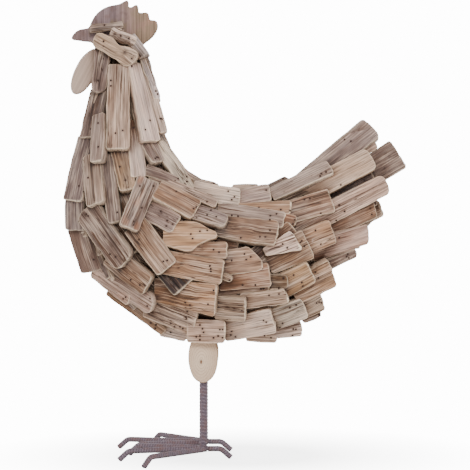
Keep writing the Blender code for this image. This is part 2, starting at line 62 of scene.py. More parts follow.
def fromScreen(red, green, blue, richer=1.34):
    # a colour picked on a screen, as linear light, made richer for the soft film look
    share = np.array([red, green, blue]) / 255
    light = np.where(share <= 0.04045, share / 12.92, ((share + 0.055) / 1.055) ** 2.4)
    grey = light.mean()
    return np.clip(grey + (light - grey) * richer, 0.002, 1)


woodTones = {
    "tan": fromScreen(170, 141, 120),
    "orange": fromScreen(176, 142, 118),
    "pinkish": fromScreen(184, 158, 143),
    "mauve": fromScreen(148, 128, 121),
    "brown": fromScreen(148, 120, 102),
    "grey": fromScreen(166, 148, 138),
    "beige": fromScreen(186, 162, 144),
    "cream": fromScreen(226, 204, 190),
    "pale": fromScreen(202, 183, 168),
    "redbrown": fromScreen(152, 118, 98),
    "dusk": fromScreen(124, 104, 96),
    "umber": fromScreen(116, 92, 76),
    "slate": fromScreen(60, 51, 49),
    "plum": fromScreen(106, 89, 86),
    "lilac": fromScreen(172, 156, 152),
    "honey": fromScreen(178, 154, 134),
    "frost": fromScreen(198, 183, 181),
}


# The form that the slats follow: a spine with oval sections.

spine = np.array([  # x, z, half height, half depth
    (-140, 470, 24, 17),
    (-130, 440, 28, 24),
    (-127, 405, 35, 34),
    (-128, 368, 44, 44),
    (-126, 322, 60, 58),
    (-116, 272, 78, 71),
    (-70, 222, 85, 79),
    (-2, 208, 86, 80),
    (53, 228, 76, 70),
    (93, 265, 56, 45),
    (127, 298, 54, 29),
    (165, 326, 46, 18),
], float)


def spineAt(place):
    # smooth curve through the rows: a cubic between two rows, steered by the rows before and after
    left = int(min(max(place, 0), len(spine) - 2))
    t = place - left
    a, b, c, d = (spine[min(max(left + k, 0), len(spine) - 1)] for k in (-1, 0, 1, 2))
    return 0.5 * (2 * b + (c - a) * t + (2 * a - 5 * b + 4 * c - d) * t**2
                  + (3 * b - a - 3 * c + d) * t**3)


rimLimit = 0.95  # how near the rim of a section a slat may lie
faceLimit = 0.55  # slats turn away from the side no further than the form does at this share
spinePoints = np.array([spineAt(k / 20) for k in range((len(spine) - 1) * 20 + 1)])


def unit(vector):
    return vector / np.linalg.norm(vector)


def unitRows(rows):
    # each row of numbers made one long
    return rows / np.linalg.norm(rows, axis=1)[:, None]


def runAlong(points):
    # distance along a path at each of its points
    return np.append(0, np.cumsum(np.linalg.norm(np.diff(points, axis=0), axis=1)))


def formAt(x, z):
    # half depth of the oval section nearest to x, z, and the way out of the form there
    away = np.hypot(spinePoints[:, 0] - x, spinePoints[:, 1] - z) / spinePoints[:, 2]
    midX, midZ, halfHeight, halfDepth = spinePoints[int(np.argmin(away))]
    reach = math.hypot(x - midX, z - midZ)
    share = min(reach / halfHeight, rimLimit)
    depth = halfDepth * math.sqrt(1 - share**2)
    if reach < 1e-6:
        return depth, np.array([0.0, -1.0, 0.0])
    share = min(share, faceLimit)
    lean = share / halfHeight
    return depth, unit(np.array([(x - midX) / reach * lean, -math.sqrt(1 - share**2) / halfDepth,
                                 (z - midZ) / reach * lean]))


def towardEye(x, z, depth):
    # the place at that depth which is seen at x, z
    share = 1 - depth / -sizes["eye"][1]
    return (sizes["eye"][0] + (x - sizes["eye"][0]) * share,
            sizes["eye"][2] + (z - sizes["eye"][2]) * share)


def placeOnForm(x, z, height):
    # the place seen at x, z whose height above the form is given
    depth = formAt(*towardEye(x, z, formAt(x, z)[0]))[0]
    nearX, nearZ = towardEye(x, z, depth)
    return np.array([nearX, -(depth + height), nearZ])


def rimPoint(place, angle, height):
    # point on the oval section at a place on the spine, turned from the side towards the back
    x, z, halfHeight, halfDepth = spineAt(place)
    ahead = spineAt(min(place + 0.05, len(spine) - 1))
    behind = spineAt(max(place - 0.05, 0))
    way = unit(np.array([ahead[0] - behind[0], 0, ahead[1] - behind[1]]))
    back = np.array([-way[2], 0, way[0]])
    turn = math.radians(angle)
    normal = unit(back * (math.sin(turn) / halfHeight)
                  + np.array([0, -math.cos(turn) / halfDepth, 0]))
    point = np.array([x, 0, z]) + back * (halfHeight * math.sin(turn))
    point[1] = -halfDepth * math.cos(turn)
    return point + normal * height, normal


# The slats of one side: name, zone, own solid, front end x z, rear end x z, front and rear width,
# height of the face above the form at both ends, wood, and what is special about it:
# nails (x, z); knots (x, z, size); grooves (place across, depth, width, start, end); outline (place
# along, upper and lower shift); corners, the front and the rear radius; slant and endNotch of the
# rear end; streaks, rough, wavy, worn, smooth, rust: how much of each; farShift on the far side.

slats = [
    ("N1", "neck", 1, -132.2, 431, -133.6, 337, 24.5, 25.5, -3, 3, "pinkish", dict(
        nails=[(-141, 412), (-141, 406), (-128, 357), (-136, 354)], streaks=1.5, wavy=0.6)),
    ("N2", "neck", 1, -114.8, 432, -95.4, 345.5, 12.5, 19.5, -1, 4.5, "cream", dict(
        nails=[(-98, 368), (-103, 358)], streaks=0.5, smooth=1)),
    ("P1", "nape", 0, -105.3, 438, -88.6, 391, 7, 8.5, -2, 3.5, "frost", dict(
        streaks=1.3, rough=1.8, corners=(3, 4), knots=[(-94, 408, 1.6)])),
    ("P2", "nape", 0, -103, 424, -82.8, 355.2, 10, 10, -7, -2, "cream", dict(streaks=0.8)),
    ("N7", "neck", 0, -154.6, 405, -166.6, 350, 20, 22, -10, -4, "dusk", dict(
        grooves=[(-0.2, 0.7, 1.2, -1, 1)], streaks=1.2)),
    ("N8", "neck", 1, -155, 376, -158, 323, 15, 15, -1, 4, "mauve", dict(
        nails=[(-155, 365), (-155, 339)], outline=[(-1, -1, 0), (0.1, 1, 0), (1, 0, -1)], streaks=0.8)),
    ("N9", "neck", 0, -169.2, 352, -184.5, 280, 19, 22, -8, 0, "plum", dict(
        nails=[(-176, 296), (-171, 290)], streaks=0.4)),
    ("N10", "neck", 1, -164, 332, -159, 276, 20, 20.5, -6.6, 2, "pinkish", dict(
        nails=[(-166, 305)], grooves=[(0.0, 1.0, 1.3, -0.9, 1)], streaks=1.1)),
    ("N11", "neck", 0, -146, 332, -137, 256, 17, 15, -7, 1, "mauve", dict(
        nails=[(-134, 267)], streaks=1.1)),
    ("N12", "neck", 0, -134, 342, -122, 292, 18, 18, -8, 0, "tan", dict(
        nails=[(-131, 317), (-125, 302)], streaks=1.3)),
    ("N13", "neck", 0, -117, 370, -110, 306, 15, 16, -8, 0, "cream", dict(
        nails=[(-116, 360)], streaks=0.5)),
    ("P4", "nape", 0, -89.3, 344.4, -53, 292.4, 14, 13, -3, 1, "pale", {}),
    ("B1", "breast", 1, -99, 304, -121, 250, 24, 22, 2, 6, "mauve", dict(
        nails=[(-109, 296), (-94, 296), (-107, 272), (-116, 257), (-116, 253)],
        grooves=[(-0.35, 1.0, 1.4, -0.9, 0.8), (0.3, 1.0, 1.4, -0.8, 0.95)], rust=1, streaks=1.2)),
    ("B2", "breast", 0, -101, 271, -69, 254, 22, 22, -6, 0, "mauve", dict(
        nails=[(-86, 268), (-79, 258), (-80, 252), (-73, 254)], streaks=0.9)),
    ("B3", "breast", 1, -90, 294, -46, 270, 22, 22, -1, 3, "brown", dict(
        nails=[(-69, 290), (-47, 273), (-50, 271)])),
    ("B4", "back", 0, -103, 315, -65, 300, 14, 10, -4, 0, "dusk", {}),
    ("B5", "back", 0, -98, 309, -24, 277, 10, 11, -5, 1, "pinkish", {}),
    ("B6", "back", 0, -52, 270, -13, 257, 18, 15, -3, 3, "mauve", dict(
        nails=[(-31, 269), (-35, 264), (-25, 262)], corners=(5, 8.5), rough=1.3)),
    ("C1a", "breast", 0, -182, 283, -181, 247, 22, 23, -6, 0, "plum", dict(
        nails=[(-176, 257), (-172, 253)], streaks=0.3)),
    ("C1b", "breast", 0, -179, 250, -162.5, 201, 24, 24, -8, -1, "dusk", dict(
        nails=[(-160, 215)], streaks=0.4)),
    ("C2", "breast", 1, -170, 271, -127, 210, 29, 26, -4, 3, "dusk", dict(
        nails=[(-168, 265), (-166, 263), (-142, 221), (-136, 218)], corners=(8, 9), streaks=1.6,
        rough=1.3, grooves=[(0.35, 0.8, 1.3, -0.5, 1), (0.05, 0.6, 1.2, -0.2, 1)])),
    ("C4", "breast", 1, -116, 254, -79, 205, 28, 26, -4, 2, "brown", dict(
        nails=[(-110, 237), (-83, 213), (-79, 214)], streaks=1.4)),
    ("C5", "breast", 0, -146, 221, -101, 186, 25, 24, -8, 1, "brown", dict(
        nails=[(-119, 193), (-109, 187)], streaks=1.3)),
    ("C6", "breast", 0, -161, 205, -96, 163, 20, 21, -9, 1, "pinkish", dict(
        nails=[(-98, 172), (-101, 164)], corners=(3, 8), streaks=1.1)),
    ("D1", "belly", 1, -104, 164.5, -49, 143, 26, 27, -7, 2, "pinkish", dict(
        nails=[(-75, 145), (-71, 141), (-65, 141), (-62, 139), (-57, 158)],
        grooves=[(0.4, 0.9, 1.2, -1, 1), (-0.1, 0.8, 1.2, -0.6, 1)], streaks=1.6)),
    ("D2", "belly", 1, -94, 181, -26, 169, 26, 35, -9.5, 2, "orange", dict(
        nails=[(-59, 168), (-54, 165), (-34, 166), (-28, 181)], wavy=2.2, streaks=1.2)),
    ("D3", "flank", 0, -85, 212, -61.5, 184, 27, 27, -7.5, -0.2, "slate", dict(
        grooves=[(0.3, 1.2, 1.3, -1, 1), (-0.3, 1.2, 1.3, -1, 1)], corners=(2, 2),
        nails=[(-76, 195)])),
    ("D4", "flank", 1, -84, 212, -18, 201, 26, 27, -3.2, 2, "brown", dict(
        nails=[(-32, 208), (-31, 205), (-31, 202)], knots=[(-63, 210.5, 2.6), (-67, 206, 1.8)],
        streaks=1.2, wavy=1)),
    ("D5", "flank", 1, -84, 241, -24, 241, 30, 14, -4, 4, "orange", dict(
        nails=[(-53, 243), (-51, 238), (-43, 246), (-35, 247)], corners=(6, 3), rough=0.9, wavy=1.4,
        outline=[(-1, -1, -5), (-0.5, 3, 0), (-0.15, 5, 4.2), (0.1, 4.8, 4.4), (0.3, 4, -0.5),
                 (0.45, 2.6, -2), (0.7, -0.5, -4.4), (1, -3.6, -5)], streaks=0.65)),
    ("D6", "flank", 0, -70, 226, -13, 226, 17, 18, -7, 1, "redbrown", dict(
        nails=[(-28, 226), (-22, 223)])),
    ("F1", "back", 0, -52, 292.5, 1, 283.4, 20, 20, -6, 1, "cream", dict(
        nails=[(-12, 290), (-5, 284), (-8, 281)], streaks=0.7)),
    ("F5", "back", 0, -4, 282, 34, 290, 18, 19, -6, 1, "mauve", dict(nails=[(30, 291)])),
    ("F8", "flank", 1, -26, 253.5, 42.5, 244, 24, 27, -6, 2, "brown", dict(
        corners=(3, 5),
        nails=[(-8, 264), (-1, 263), (34, 259), (34, 247), (23, 240), (29, 240), (2, 239)],
        rough=1.5, streaks=1.3, wavy=0.8)),
    ("F10", "back", 0, -2, 272, 57, 273, 10, 15, -8, 1, "tan", dict(
        nails=[(22, 272), (46, 270), (56, 269)])),
    ("F12a", "flank", 0, 15, 214, 60, 250, 22, 20, -11, -2, "tan", dict(nails=[(46, 235), (36, 227)])),
    ("F12", "flank", 0, 28, 223, 63.5, 236.5, 8, 24, -4, 3, "cream", dict(
        nails=[(53, 228), (48, 232)], streaks=1.5, rough=1.3, corners=(1, 3), slant=-3)),
    ("F13", "flank", 0, -18, 211, 25, 215, 26, 24, -6, 1, "tan", dict(
        nails=[(6, 221), (8, 215), (-8, 214), (13, 218)], wavy=2.0, rough=1.1, corners=(4, 2),
        outline=[(-1, 0, 0), (0.0, 2, 0), (0.3, 3.4, 0), (0.45, 1, 0), (0.7, -5, 0), (1, -13, -2)])),
    ("F14", "flank", 1, -23, 190, 34, 198, 20, 26, -7, 1, "redbrown", dict(
        nails=[(25, 205), (4, 187), (18, 187)])),
    ("F16", "flank", 1, 32, 210, 77, 232, 24, 34, -8, 1, "tan", dict(streaks=1.2)),
    ("L12", "belly", 0, 2, 168, 53, 175, 16, 17, -7, 1, "beige", dict(
        nails=[(44, 183), (33, 176), (44, 177)], rough=2.6, streaks=1.5, endNotch=3)),
    ("M1", "belly", 0, -28, 161, 7, 158, 24, 25, -8, 1, "beige", dict(
        grooves=[(0.45, 1.1, 1.3, -1, 1), (0.0, 1.1, 1.3, -1, 1), (-0.45, 1.1, 1.3, -1, 1)],
        streaks=1.8)),
    ("L10", "belly", 1, -19, 135.5, 38, 146.5, 25, 27, -8, 1, "cream", dict(
        nails=[(27, 148), (30, 146), (-8, 136), (-9, 132), (-4, 130), (28, 131)], streaks=0.8)),
    ("L9", "belly", 0, 36, 147, 73, 161, 24, 23, -8, 0, "pale", dict(
        nails=[(56, 162), (63, 165), (48, 145), (45, 140)], streaks=0.8)),
    ("L5", "rump", 0, 48, 184, 80, 201, 26, 24, -7, 1, "orange", dict(
        nails=[(60, 198), (69, 190), (70, 186)])),
    ("L6", "rump", 0, 60, 178, 104, 200, 28, 30, -9, 0, "tan", dict(
        nails=[(80, 208), (84, 201), (87, 195)], streaks=1.2)),
    ("L7", "rump", 0, 64, 155.5, 92.7, 169.8, 20, 22, -10, -3, "beige", dict(streaks=1.2)),
    ("L3", "tail", 1, 72, 233, 104, 246, 27, 27, -7, 1, "orange", dict(
        nails=[(84, 247), (90, 232)], streaks=0.9, corners=(2, 2.5), rough=0.6)),
    ("L1", "tail", 0, 82, 224.5, 143.5, 243, 26, 21.5, -9, -1, "pinkish", dict(
        nails=[(110, 239)], streaks=1.1, corners=(3, 4.5), rough=0.5, farShift=(-2, 1))),
    ("T9", "tail", 1, 54, 267, 102, 281, 24, 26, -6, 2, "brown", dict(
        nails=[(72, 281), (78, 282), (90, 266)], streaks=1.4, corners=(2, 1.8), rough=0.7,
        grooves=[(0.1, 0.7, 1.3, -1, 0.6)])),
    ("T8", "tail", 1, 61, 246, 163.5, 299, 24, 23, -10.5, 0, "pinkish", dict(
        nails=[(110, 275), (107, 258), (116, 268)], streaks=0.75, corners=(4, 7), rough=0.5)),
    ("T3", "tail", 1, 72, 287.6, 146, 327.8, 25, 25.4, -8, 0, "beige", dict(
        nails=[(101, 307), (112, 297)], streaks=0.45, corners=(4, 6), rough=0.6)),
    ("T1", "tail", 1, 71, 299.6, 147.4, 361.4, 25, 25, -11, -4, "mauve", dict(
        nails=[(116, 347), (123, 345)], streaks=0.55, corners=(4, 6), rough=0.6)),
    ("T4", "tail", 0, 35, 287, 100.5, 318, 15, 16, -5, 2, "grey", dict(streaks=0.6, rough=0.6)),
]

# Slats too small for a solid of their own, as above.
smallSlats = [
    ("P3", "nape", 0, -99, 344, -88, 323, 17, 14, -4, 2, "dusk", {}),
    ("N6", "neck", 0, -116.5, 415, -102, 338, 12, 14, -9, -5, "tan", {}),
    ("C3", "breast", 0, -152, 268, -116, 222, 16, 16, -12, -8, "umber", {}),
    ("C7", "breast", 0, -163.5, 200.5, -122, 169, 11, 12, -8, -1, "pinkish", {}),
    ("C8", "belly", 0, -146, 179.2, -82.5, 134.6, 9, 10, -9, -3, "tan", {}),
    ("E2", "belly", 0, -88, 136.4, -58, 129, 13, 10.5, -8, -2, "cream", dict(nails=[(-75, 135)])),
    ("F2", "back", 0, -8, 294.2, 22, 296, 8, 7, -4, -1, "pale", {}),
    ("F3", "back", 0, -50, 302.5, -23.5, 297, 8, 5, -7, -0.5, "grey", {}),
    ("F6", "back", 0, -24, 270, 50, 259, 18, 18, -8, -2, "grey", {}),
    ("F11", "back", 0, 40, 262, 63, 257, 12, 12, -7, -1, "redbrown", {}),
    ("F9", "flank", 0, -18, 197, -8, 193, 9, 8, -3, 0, "brown", {}),
    ("F15", "flank", 0, -26, 178, 33, 184, 8, 8, -10, -4, "pinkish", {}),
    ("L13", "flank", 0, 32, 190, 54, 190, 15, 15, -8, -1, "umber", {}),
    ("L11", "belly", 0, 23, 130.8, 69.5, 138.2, 12, 18, -9, -3, "cream", {}),
    ("L14", "belly", 0, 8, 128, 42, 126, 8, 8, -9, -5, "pinkish", {}),
    ("L8", "rump", 0, 70, 147, 90, 155.5, 8, 8, -11, -5, "pale", {}),
    ("L2", "tail", 0, 80, 199.5, 130.5, 222.4, 12, 9.5, -10, -5, "dusk", dict(rough=0.5, corners=(2, 3))),
    ("T10", "tail", 0, 96, 246.5, 151, 270.5, 20, 19, -11, -5, "brown", dict(
        rough=0.5, farShift=(10, 0.3))),
    ("T11", "back", 0, 29, 291, 54.5, 304.3, 11, 9, -6, -1, "plum", dict(rough=0.7)),
    ("T5", "tail", 0, 45, 284, 95, 305, 16, 16, -12, -8, "umber", {}),
]

# Slats nailed flat on the head board and on the thigh: as above, with the face's distance from the
# middle plane.
headSlats = [
    ("H3", "cheek", 1, -160, 460, -114, 434, 17, 18, 22.5, 30, "honey", dict(
        nails=[(-149, 455), (-149, 450), (-118, 436), (-118, 428)], corners=(8, 8),
        knots=[(-125.5, 443, 3.4), (-116, 439, 1.8)], rough=1.6,
        grooves=[(0.62, 1.6, 0.8, 0.4, 0.9), (0.28, 1.2, 0.7, 0.5, 0.9), (-0.3, 0.6, 0.7, -0.9, 0.2)],
        outline=[(-1, 0, 0), (-0.3, 0.5, 0.5), (0.15, -2.5, 0.5), (0.5, 0.5, 2), (1, 1, 1)])),
    ("H1", "brow", 0, -165, 469, -127, 473, 10.5, 8.5, 16, 16, "mauve", dict(
        nails=[(-148, 473)], grooves=[(-0.1, 0.9, 0.6, -1, 1), (-0.8, 1.0, 1.2, -1, 1)], corners=(2, 3),
        rough=1.8, streaks=1.2, worn=0.4)),
    ("H2", "brow", 0, -141, 466, -114, 454, 12, 13, 16, 18, "cream", dict(
        nails=[(-130, 461), (-121, 458)], corners=(4, 5), rough=3.0, streaks=1.7, worn=0.5,
        knots=[(-137, 463, 3.0)], grooves=[(0.3, 1.2, 0.9, -0.8, 0.6), (-0.5, 0.9, 1.2, -0.9, 0.8)])),
    ("H4", "cheek", 0, -121.5, 461, -105, 438.5, 12, 14, 16, 20, "frost", dict(
        grooves=[(0.25, 0.9, 1.0, -1, 1), (-0.3, 0.7, 0.9, -1, 1)], rough=1.3, corners=(2, 2), streaks=1.4,
        worn=0.3)),
    ("H6", "cheek", 0, -130, 447, -113, 432, 5, 4, 24, 24, "umber", dict(rough=1.6, streaks=1.5)),
    ("H5", "throat", 0, -148, 452, -155, 399, 20, 15, 16, 25, "mauve", dict(
        nails=[(-149, 436), (-151, 425), (-155, 412)], rough=1.6,
        grooves=[(0.1, 0.9, 1.1, -0.8, 1), (-0.45, 1.2, 2.4, -1, 0.7)],
        corners=(2, 6), streaks=1.5, slant=-2, worn=0.45)),
    ("E1", "belly", 0, -57, 137, -15.5, 135.5, 26, 25.5, 51.5, 53.5, "pinkish", dict(
        nails=[(-43, 143), (-40, 139), (-39, 135), (-47, 130), (-43, 131), (-43, 127), (-28, 129),
               (-23, 131), (-21, 138), (-18, 138), (-18, 129)], streaks=0.9)),
]

# Slats beside the middle plane of the tail: ends, widths, and the face's place to the left.
middleSlats = [
    ("T2", 98, 310.8, 150.6, 342.8, 13, 12, 7, 6, "pinkish"),
    ("T6", 97, 283, 175.3, 331.3, 31, 35.5, 4, 5.5, "dusk"),
    ("T7", 90, 280, 146, 308, 18, 15, 16, 13, "lilac"),
    ("U1", 84, 232, 133, 236, 20, 18, 5.6, 4, "brown"),
    ("U2", 84, 254, 150, 283, 20, 16, 4.2, 5.8, "mauve"),
]
middleLook = {"shaded": 0.6, "looks": dict(streaks=1.1, rough=0.5)}  # shaded: share of the painted crevice shade
middleSeed = 2000

# Rows that close the back and the underside: angle from the side towards the back, first and last
# place on the spine, width, height of the face at both ends of a slat.
closingRows = {
    "rows": [(90, 1.7, 9.6, 20, -11, -4.5), (75, 1.9, 8.8, 20, -11, -4.5), (-35, 7.4, 10.2, 22, -18, -13),
             (-52, 7.0, 10.2, 22, -15, -11), (-63, 4.2, 7.8, 22, -14, -5), (-55, 1.2, 4.6, 22, -13, -8),
             (-74, 1.2, 4.8, 21, -8, -4), (-90, 1.0, 4.8, 20, -7, -3.5), (-63, 4.3, 6.4, 22, -12, -6),
             (-75, 4.5, 6.3, 22, -10, -5), (-90, 4.3, 6.2, 22, -9, -5), (-75, 5.6, 8.2, 21, -17, -11),
             (-90, 5.6, 7.6, 22, -16, -11), (-90, 6.4, 10.1, 26, -19, -19), (-70, 6.4, 10.1, 26, -20, -18)],
    "length": 68,
    "pitch": 60,
    "secondStart": 0.5,  # every second row starts later by this share of the pitch
    "farStart": 0.6,
    "seed": 1000,
}
plainTones = list(woodTones)[:9]  # what the rows of plain slats choose from

# How much the far side's slats differ in place, width and height; and where their seeds start.
farSide = {"shift": 2.0, "width": 1.5, "height": 0.8, "seed": 500}


def plankBetween(front, rear, normal, far):
    # where a slat lies: its middle, and the ways along it, across it and out of its face
    if far:
        front, rear, normal = (v * np.array([1, -1, 1]) for v in (front, rear, normal))
    along = unit(rear - front)
    out = unit(normal - along * (normal @ along))
    axes = np.array([along, np.cross(out, along), out])
    return {"middle": (front + rear) / 2, "axes": axes, "length": np.linalg.norm(rear - front)}


def seenOnFace(plank, x, z):
    # where the eye's ray through x, z meets a slat's face, along and across it from its middle
    eye = np.array(sizes["eye"])
    ray = np.array([x, 0, z]) - eye
    out = plank["axes"][2]
    hit = eye + ray * (((plank["middle"] - eye) @ out) / (ray @ out)) - plank["middle"]
    return hit @ plank["axes"][0], hit @ plank["axes"][1]


def nearPlank(numbers, onBoard):
    # a row's slat on the side that the eye sees, laid on the head board or on the form
    ax, az, bx, bz, _, _, frontHeight, rearHeight = numbers
    if onBoard:
        front, rear = (np.array([*towardEye(x, z, h), h])[[0, 2, 1]] * np.array([1, -1, 1])
                       for x, z, h in ((ax, az, frontHeight), (bx, bz, rearHeight)))
        return plankBetween(front, rear, np.array([0, -1.0, 0]), False)
    front, rear = placeOnForm(ax, az, frontHeight), placeOnForm(bx, bz, rearHeight)
    middle = (front + rear) / 2
    return plankBetween(front, rear, formAt(middle[0], middle[2])[1], False)


def mirrored(plank):
    # the same slat on the far side; its way across turns over, to keep the three ways in order
    turned = plank["axes"] * np.array([1, -1, 1])
    turned[1] *= -1
    return {**plank, "middle": plank["middle"] * np.array([1, -1, 1]), "axes": turned}


def sideSlats(far):
    # every slat of one side; the far side's differ a little, so that it isn't a plain mirror image
    for index, row in enumerate(slats + headSlats + smallSlats):
        onBoard = len(slats) <= index < len(slats) + len(headSlats)
        _, zone, own, *numbers, wood, looks = row
        flip = -1 if far else 1
        seen, marks = nearPlank(numbers, onBoard), {}
        for key in ("nails", "knots"):
            placed = [(*seenOnFace(seen, *mark[:2]), *mark[2:]) for mark in looks.get(key, [])]
            marks[key] = [(along, across * flip, *size) for along, across, *size in placed]
        if far and not onBoard:
            rng = random.Random(index)
            shift, wide, high = farSide["shift"], farSide["width"], farSide["height"]
            numbers = [v + rng.uniform(-reach, reach) for v, reach in
                       zip(numbers, [shift] * 4 + [wide] * 2 + [high] * 2)]
            numbers[:4] = np.array(numbers[:4]) + looks.get("farShift", (0, 0)) * 2
        plank = nearPlank(numbers, onBoard)
        if far:
            plank = mirrored(plank)
        # the true widths: the rows give them as the eye sees them
        widths = [width / np.hypot(*plank["axes"][1][[0, 2]]) for width in numbers[4:6]]
        yield {**plank, "zone": zone, "own": own, "widths": widths, "wood": wood, "flip": flip,
               "seed": index + (farSide["seed"] if far else 0), "looks": {**looks, **marks}}


def slatsAlong(angle, ends, row, start, heights, far):
    # slats one behind the other along the spine, turned by an angle from the side
    places = np.linspace(*ends, 200)
    run = runAlong(np.array([rimPoint(place, angle, 0)[0] for place in places]))
    while start + row["length"] < run[-1]:
        a, b = np.interp([start, start + row["length"]], run, places)
        middle = (a + b) / 2
        yield middle, plankBetween(rimPoint(a, angle, heights[0])[0], rimPoint(b, angle, heights[1])[0],
                                   rimPoint(middle, angle, 0)[1], far)
        start += row["pitch"]


def plainTone(number):
    return plainTones[number % len(plainTones)]


def closingSlats():
    # rows over the back and the underside, the rows at 90 degrees once and the others on both sides
    seed = closingRows["seed"]
    for number, (angle, first, last, width, *heights) in enumerate(closingRows["rows"]):
        for far in ((False,) if abs(angle) == 90 else (False, True)):
            start = closingRows["pitch"] * closingRows["secondStart"] * (number % 2)
            start *= closingRows["farStart"] if far else 1
            for _, plank in slatsAlong(angle, (first, last), closingRows, start, heights, far):
                yield {**plank, "zone": "spine" if angle > 0 else "underside", "widths": (width, width),
                       "wood": plainTone(seed * 7), "seed": seed, "flip": 1, "looks": {}}
                seed += 1


underLayer = {
    "angles": range(-80, 81, 16),
    "ends": (1.0, 7.8),
    "width": 24,
    "widthShare": 0.45,  # of the section's half height, where that is less
    "heights": (-13.0, -10.0),
    "length": 60,
    "pitch": 56,
    "secondStart": 0.5,
    "farStart": 0.2,
    "coarse": 2.2,
    "seed": 3000,
}


def underSlats():
    # a lower layer of slats along the form, seen only through the gaps
    seed = underLayer["seed"]
    for number, angle in enumerate(underLayer["angles"]):
        for far in (False, True):
            start = underLayer["pitch"] * (underLayer["secondStart"] * (number % 2)
                                           + underLayer["farStart"] * far)
            for middle, plank in slatsAlong(angle, underLayer["ends"], underLayer, start,
                                            underLayer["heights"], far):
                width = min(underLayer["width"], spineAt(middle)[2] * underLayer["widthShare"])
                yield {**plank, "zone": "underLayer", "widths": (width, width), "wood": plainTone(seed * 5),
                       "seed": seed, "flip": 1, "coarse": underLayer["coarse"], "looks": {}}
                seed += 1


def tailMiddleSlats():
    # the slats that stand beside the middle plane, on the left only
    for index, (_, ax, az, bx, bz, *widths, frontFace, rearFace, wood) in enumerate(middleSlats):
        plank = plankBetween(np.array([ax, -frontFace, az]), np.array([bx, -rearFace, bz]),
                             np.array([0, -1.0, 0]), False)
        yield {**plank, **middleLook, "zone": "tailMiddle", "seed": middleSeed + index,
               "widths": widths, "wood": wood, "flip": 1}


noiseSize = 61


def softNoise(x, y, seed):
    # random heights at the corners of a square lattice, eased from corner to corner; -1 to 1
    table = np.random.default_rng(seed).random((noiseSize, noiseSize)) * 2 - 1
    left, low = np.floor(x).astype(int), np.floor(y).astype(int)
    fx, fy = x - left, y - low
    fx, fy = fx * fx * (3 - 2 * fx), fy * fy * (3 - 2 * fy)
    corner = [[table[(left + i) % noiseSize, (low + j) % noiseSize] for j in (0, 1)] for i in (0, 1)]
    return ((corner[0][0] * (1 - fx) + corner[1][0] * fx) * (1 - fy)
            + (corner[0][1] * (1 - fx) + corner[1][1] * fx) * fy)


def roundHill(x, y, middleX, middleY, reach):
    # 1 at its middle, falling off as exp(-(distance / reach)^2)
    return np.exp(-((x - middleX) ** 2 + (y - middleY) ** 2) / reach**2)


slatSkin = {
    "stationLength": 1.7,  # mesh spacing along a slat and across it
    "stationWidth": 1.25,
    "edgeRound": 0.75,
    "rim": ((28, 0.8), (58, 1.0), (90, 0.7)),  # turn of each ring round the edge, and how pale it is from wear and a painted highlight
    "underRound": 0.6,
    "corner": (2.2, 3.2),
    "sideWander": 0.45,  # how far the long edges and the ends wander
    "lumps": 0.30,
    "ridges": 0.20,
    "cup": 0.5,
    "bend": 0.3,  # how far a slat's middle stands above its mean height, and its ends below
    "palette": 0.06,  # spread of tone between slats
}
darkTint = np.array([0.95, 1.0, 1.03])  # what shade takes of red, green and blue
rustTint = np.array([1.15, 0.82, 0.62])

# pale edges, from wear and a painted highlight: most on the lower edge and the rear end
edgePaleness = {
    "side": (0.95, 0.45),  # the lower edge and the upper
    "end": (1.0, 0.35),  # the rear end and the front
    "width": 0.4,
    "onFace": 0.18,
}


def widthAt(plank, share):
    # a slat's width at a share of its length from the front
    front, rear = plank["widths"]
    return front + (rear - front) * share


def slatOutline(plank, u, v, inset):
    # place in the slat's plane: u from end to end, v from edge to edge, both -1 to 1.
    # The half width runs straight between the ends, wanders by noise, and near an end follows
    # a quarter circle; the ends wander by noise across.
    looks, seed, flip = plank["looks"], plank["seed"], plank["flip"]
    rough = looks.get("rough", 1)
    halfLength = plank["length"] / 2 - inset
    x = u * halfLength
    side = v * flip
    half = widthAt(plank, (u + 1) / 2) / 2
    wander = slatSkin["sideWander"] * rough
    for amount, length, upperRow, lowerRow in ((1, 9, 0, 7), (0.8, 26, 2, 5)):
        half = half + wander * amount * np.where(v > 0, softNoise(x / length, x * 0 + upperRow, seed),
                                                 softNoise(x / length, x * 0 + lowerRow, seed))
    outline = np.array(looks.get("outline", [(-1, 0, 0), (1, 0, 0)]), float)
    upper, lower = (np.interp(u, outline[:, 0], outline[:, k]) for k in (1, 2))
    half = half + np.where(side > 0, upper, lower)
    front, rear = looks.get("corners", slatSkin["corner"])
    radius = np.maximum(np.where(u < 0, front, rear) - inset * 0.6, 0.6)
    into = np.clip(np.abs(x) - (halfLength - radius), 0, radius)
    half = half - inset - (radius - np.sqrt(np.maximum(radius**2 - into**2, 0)))
    y = v * half
    ends = (softNoise(y / 6, y * 0 + 3, seed + 11) * wander * 1.3
            + softNoise(y / 2, y * 0, seed + 5) * 0.25) * np.sign(u)
    deep = looks.get("endNotch", 0)
    notch = (deep * softNoise(y / 4.5 + 3, y * 0 + 9, seed + 2) - abs(deep) * 0.4) * (u > 0)
    x = x + looks.get("slant", 0) * y / half.max() * flip * np.clip(u, 0, 1) ** 3
    x = x + (ends + notch) * np.abs(u) ** 7
    return x, y


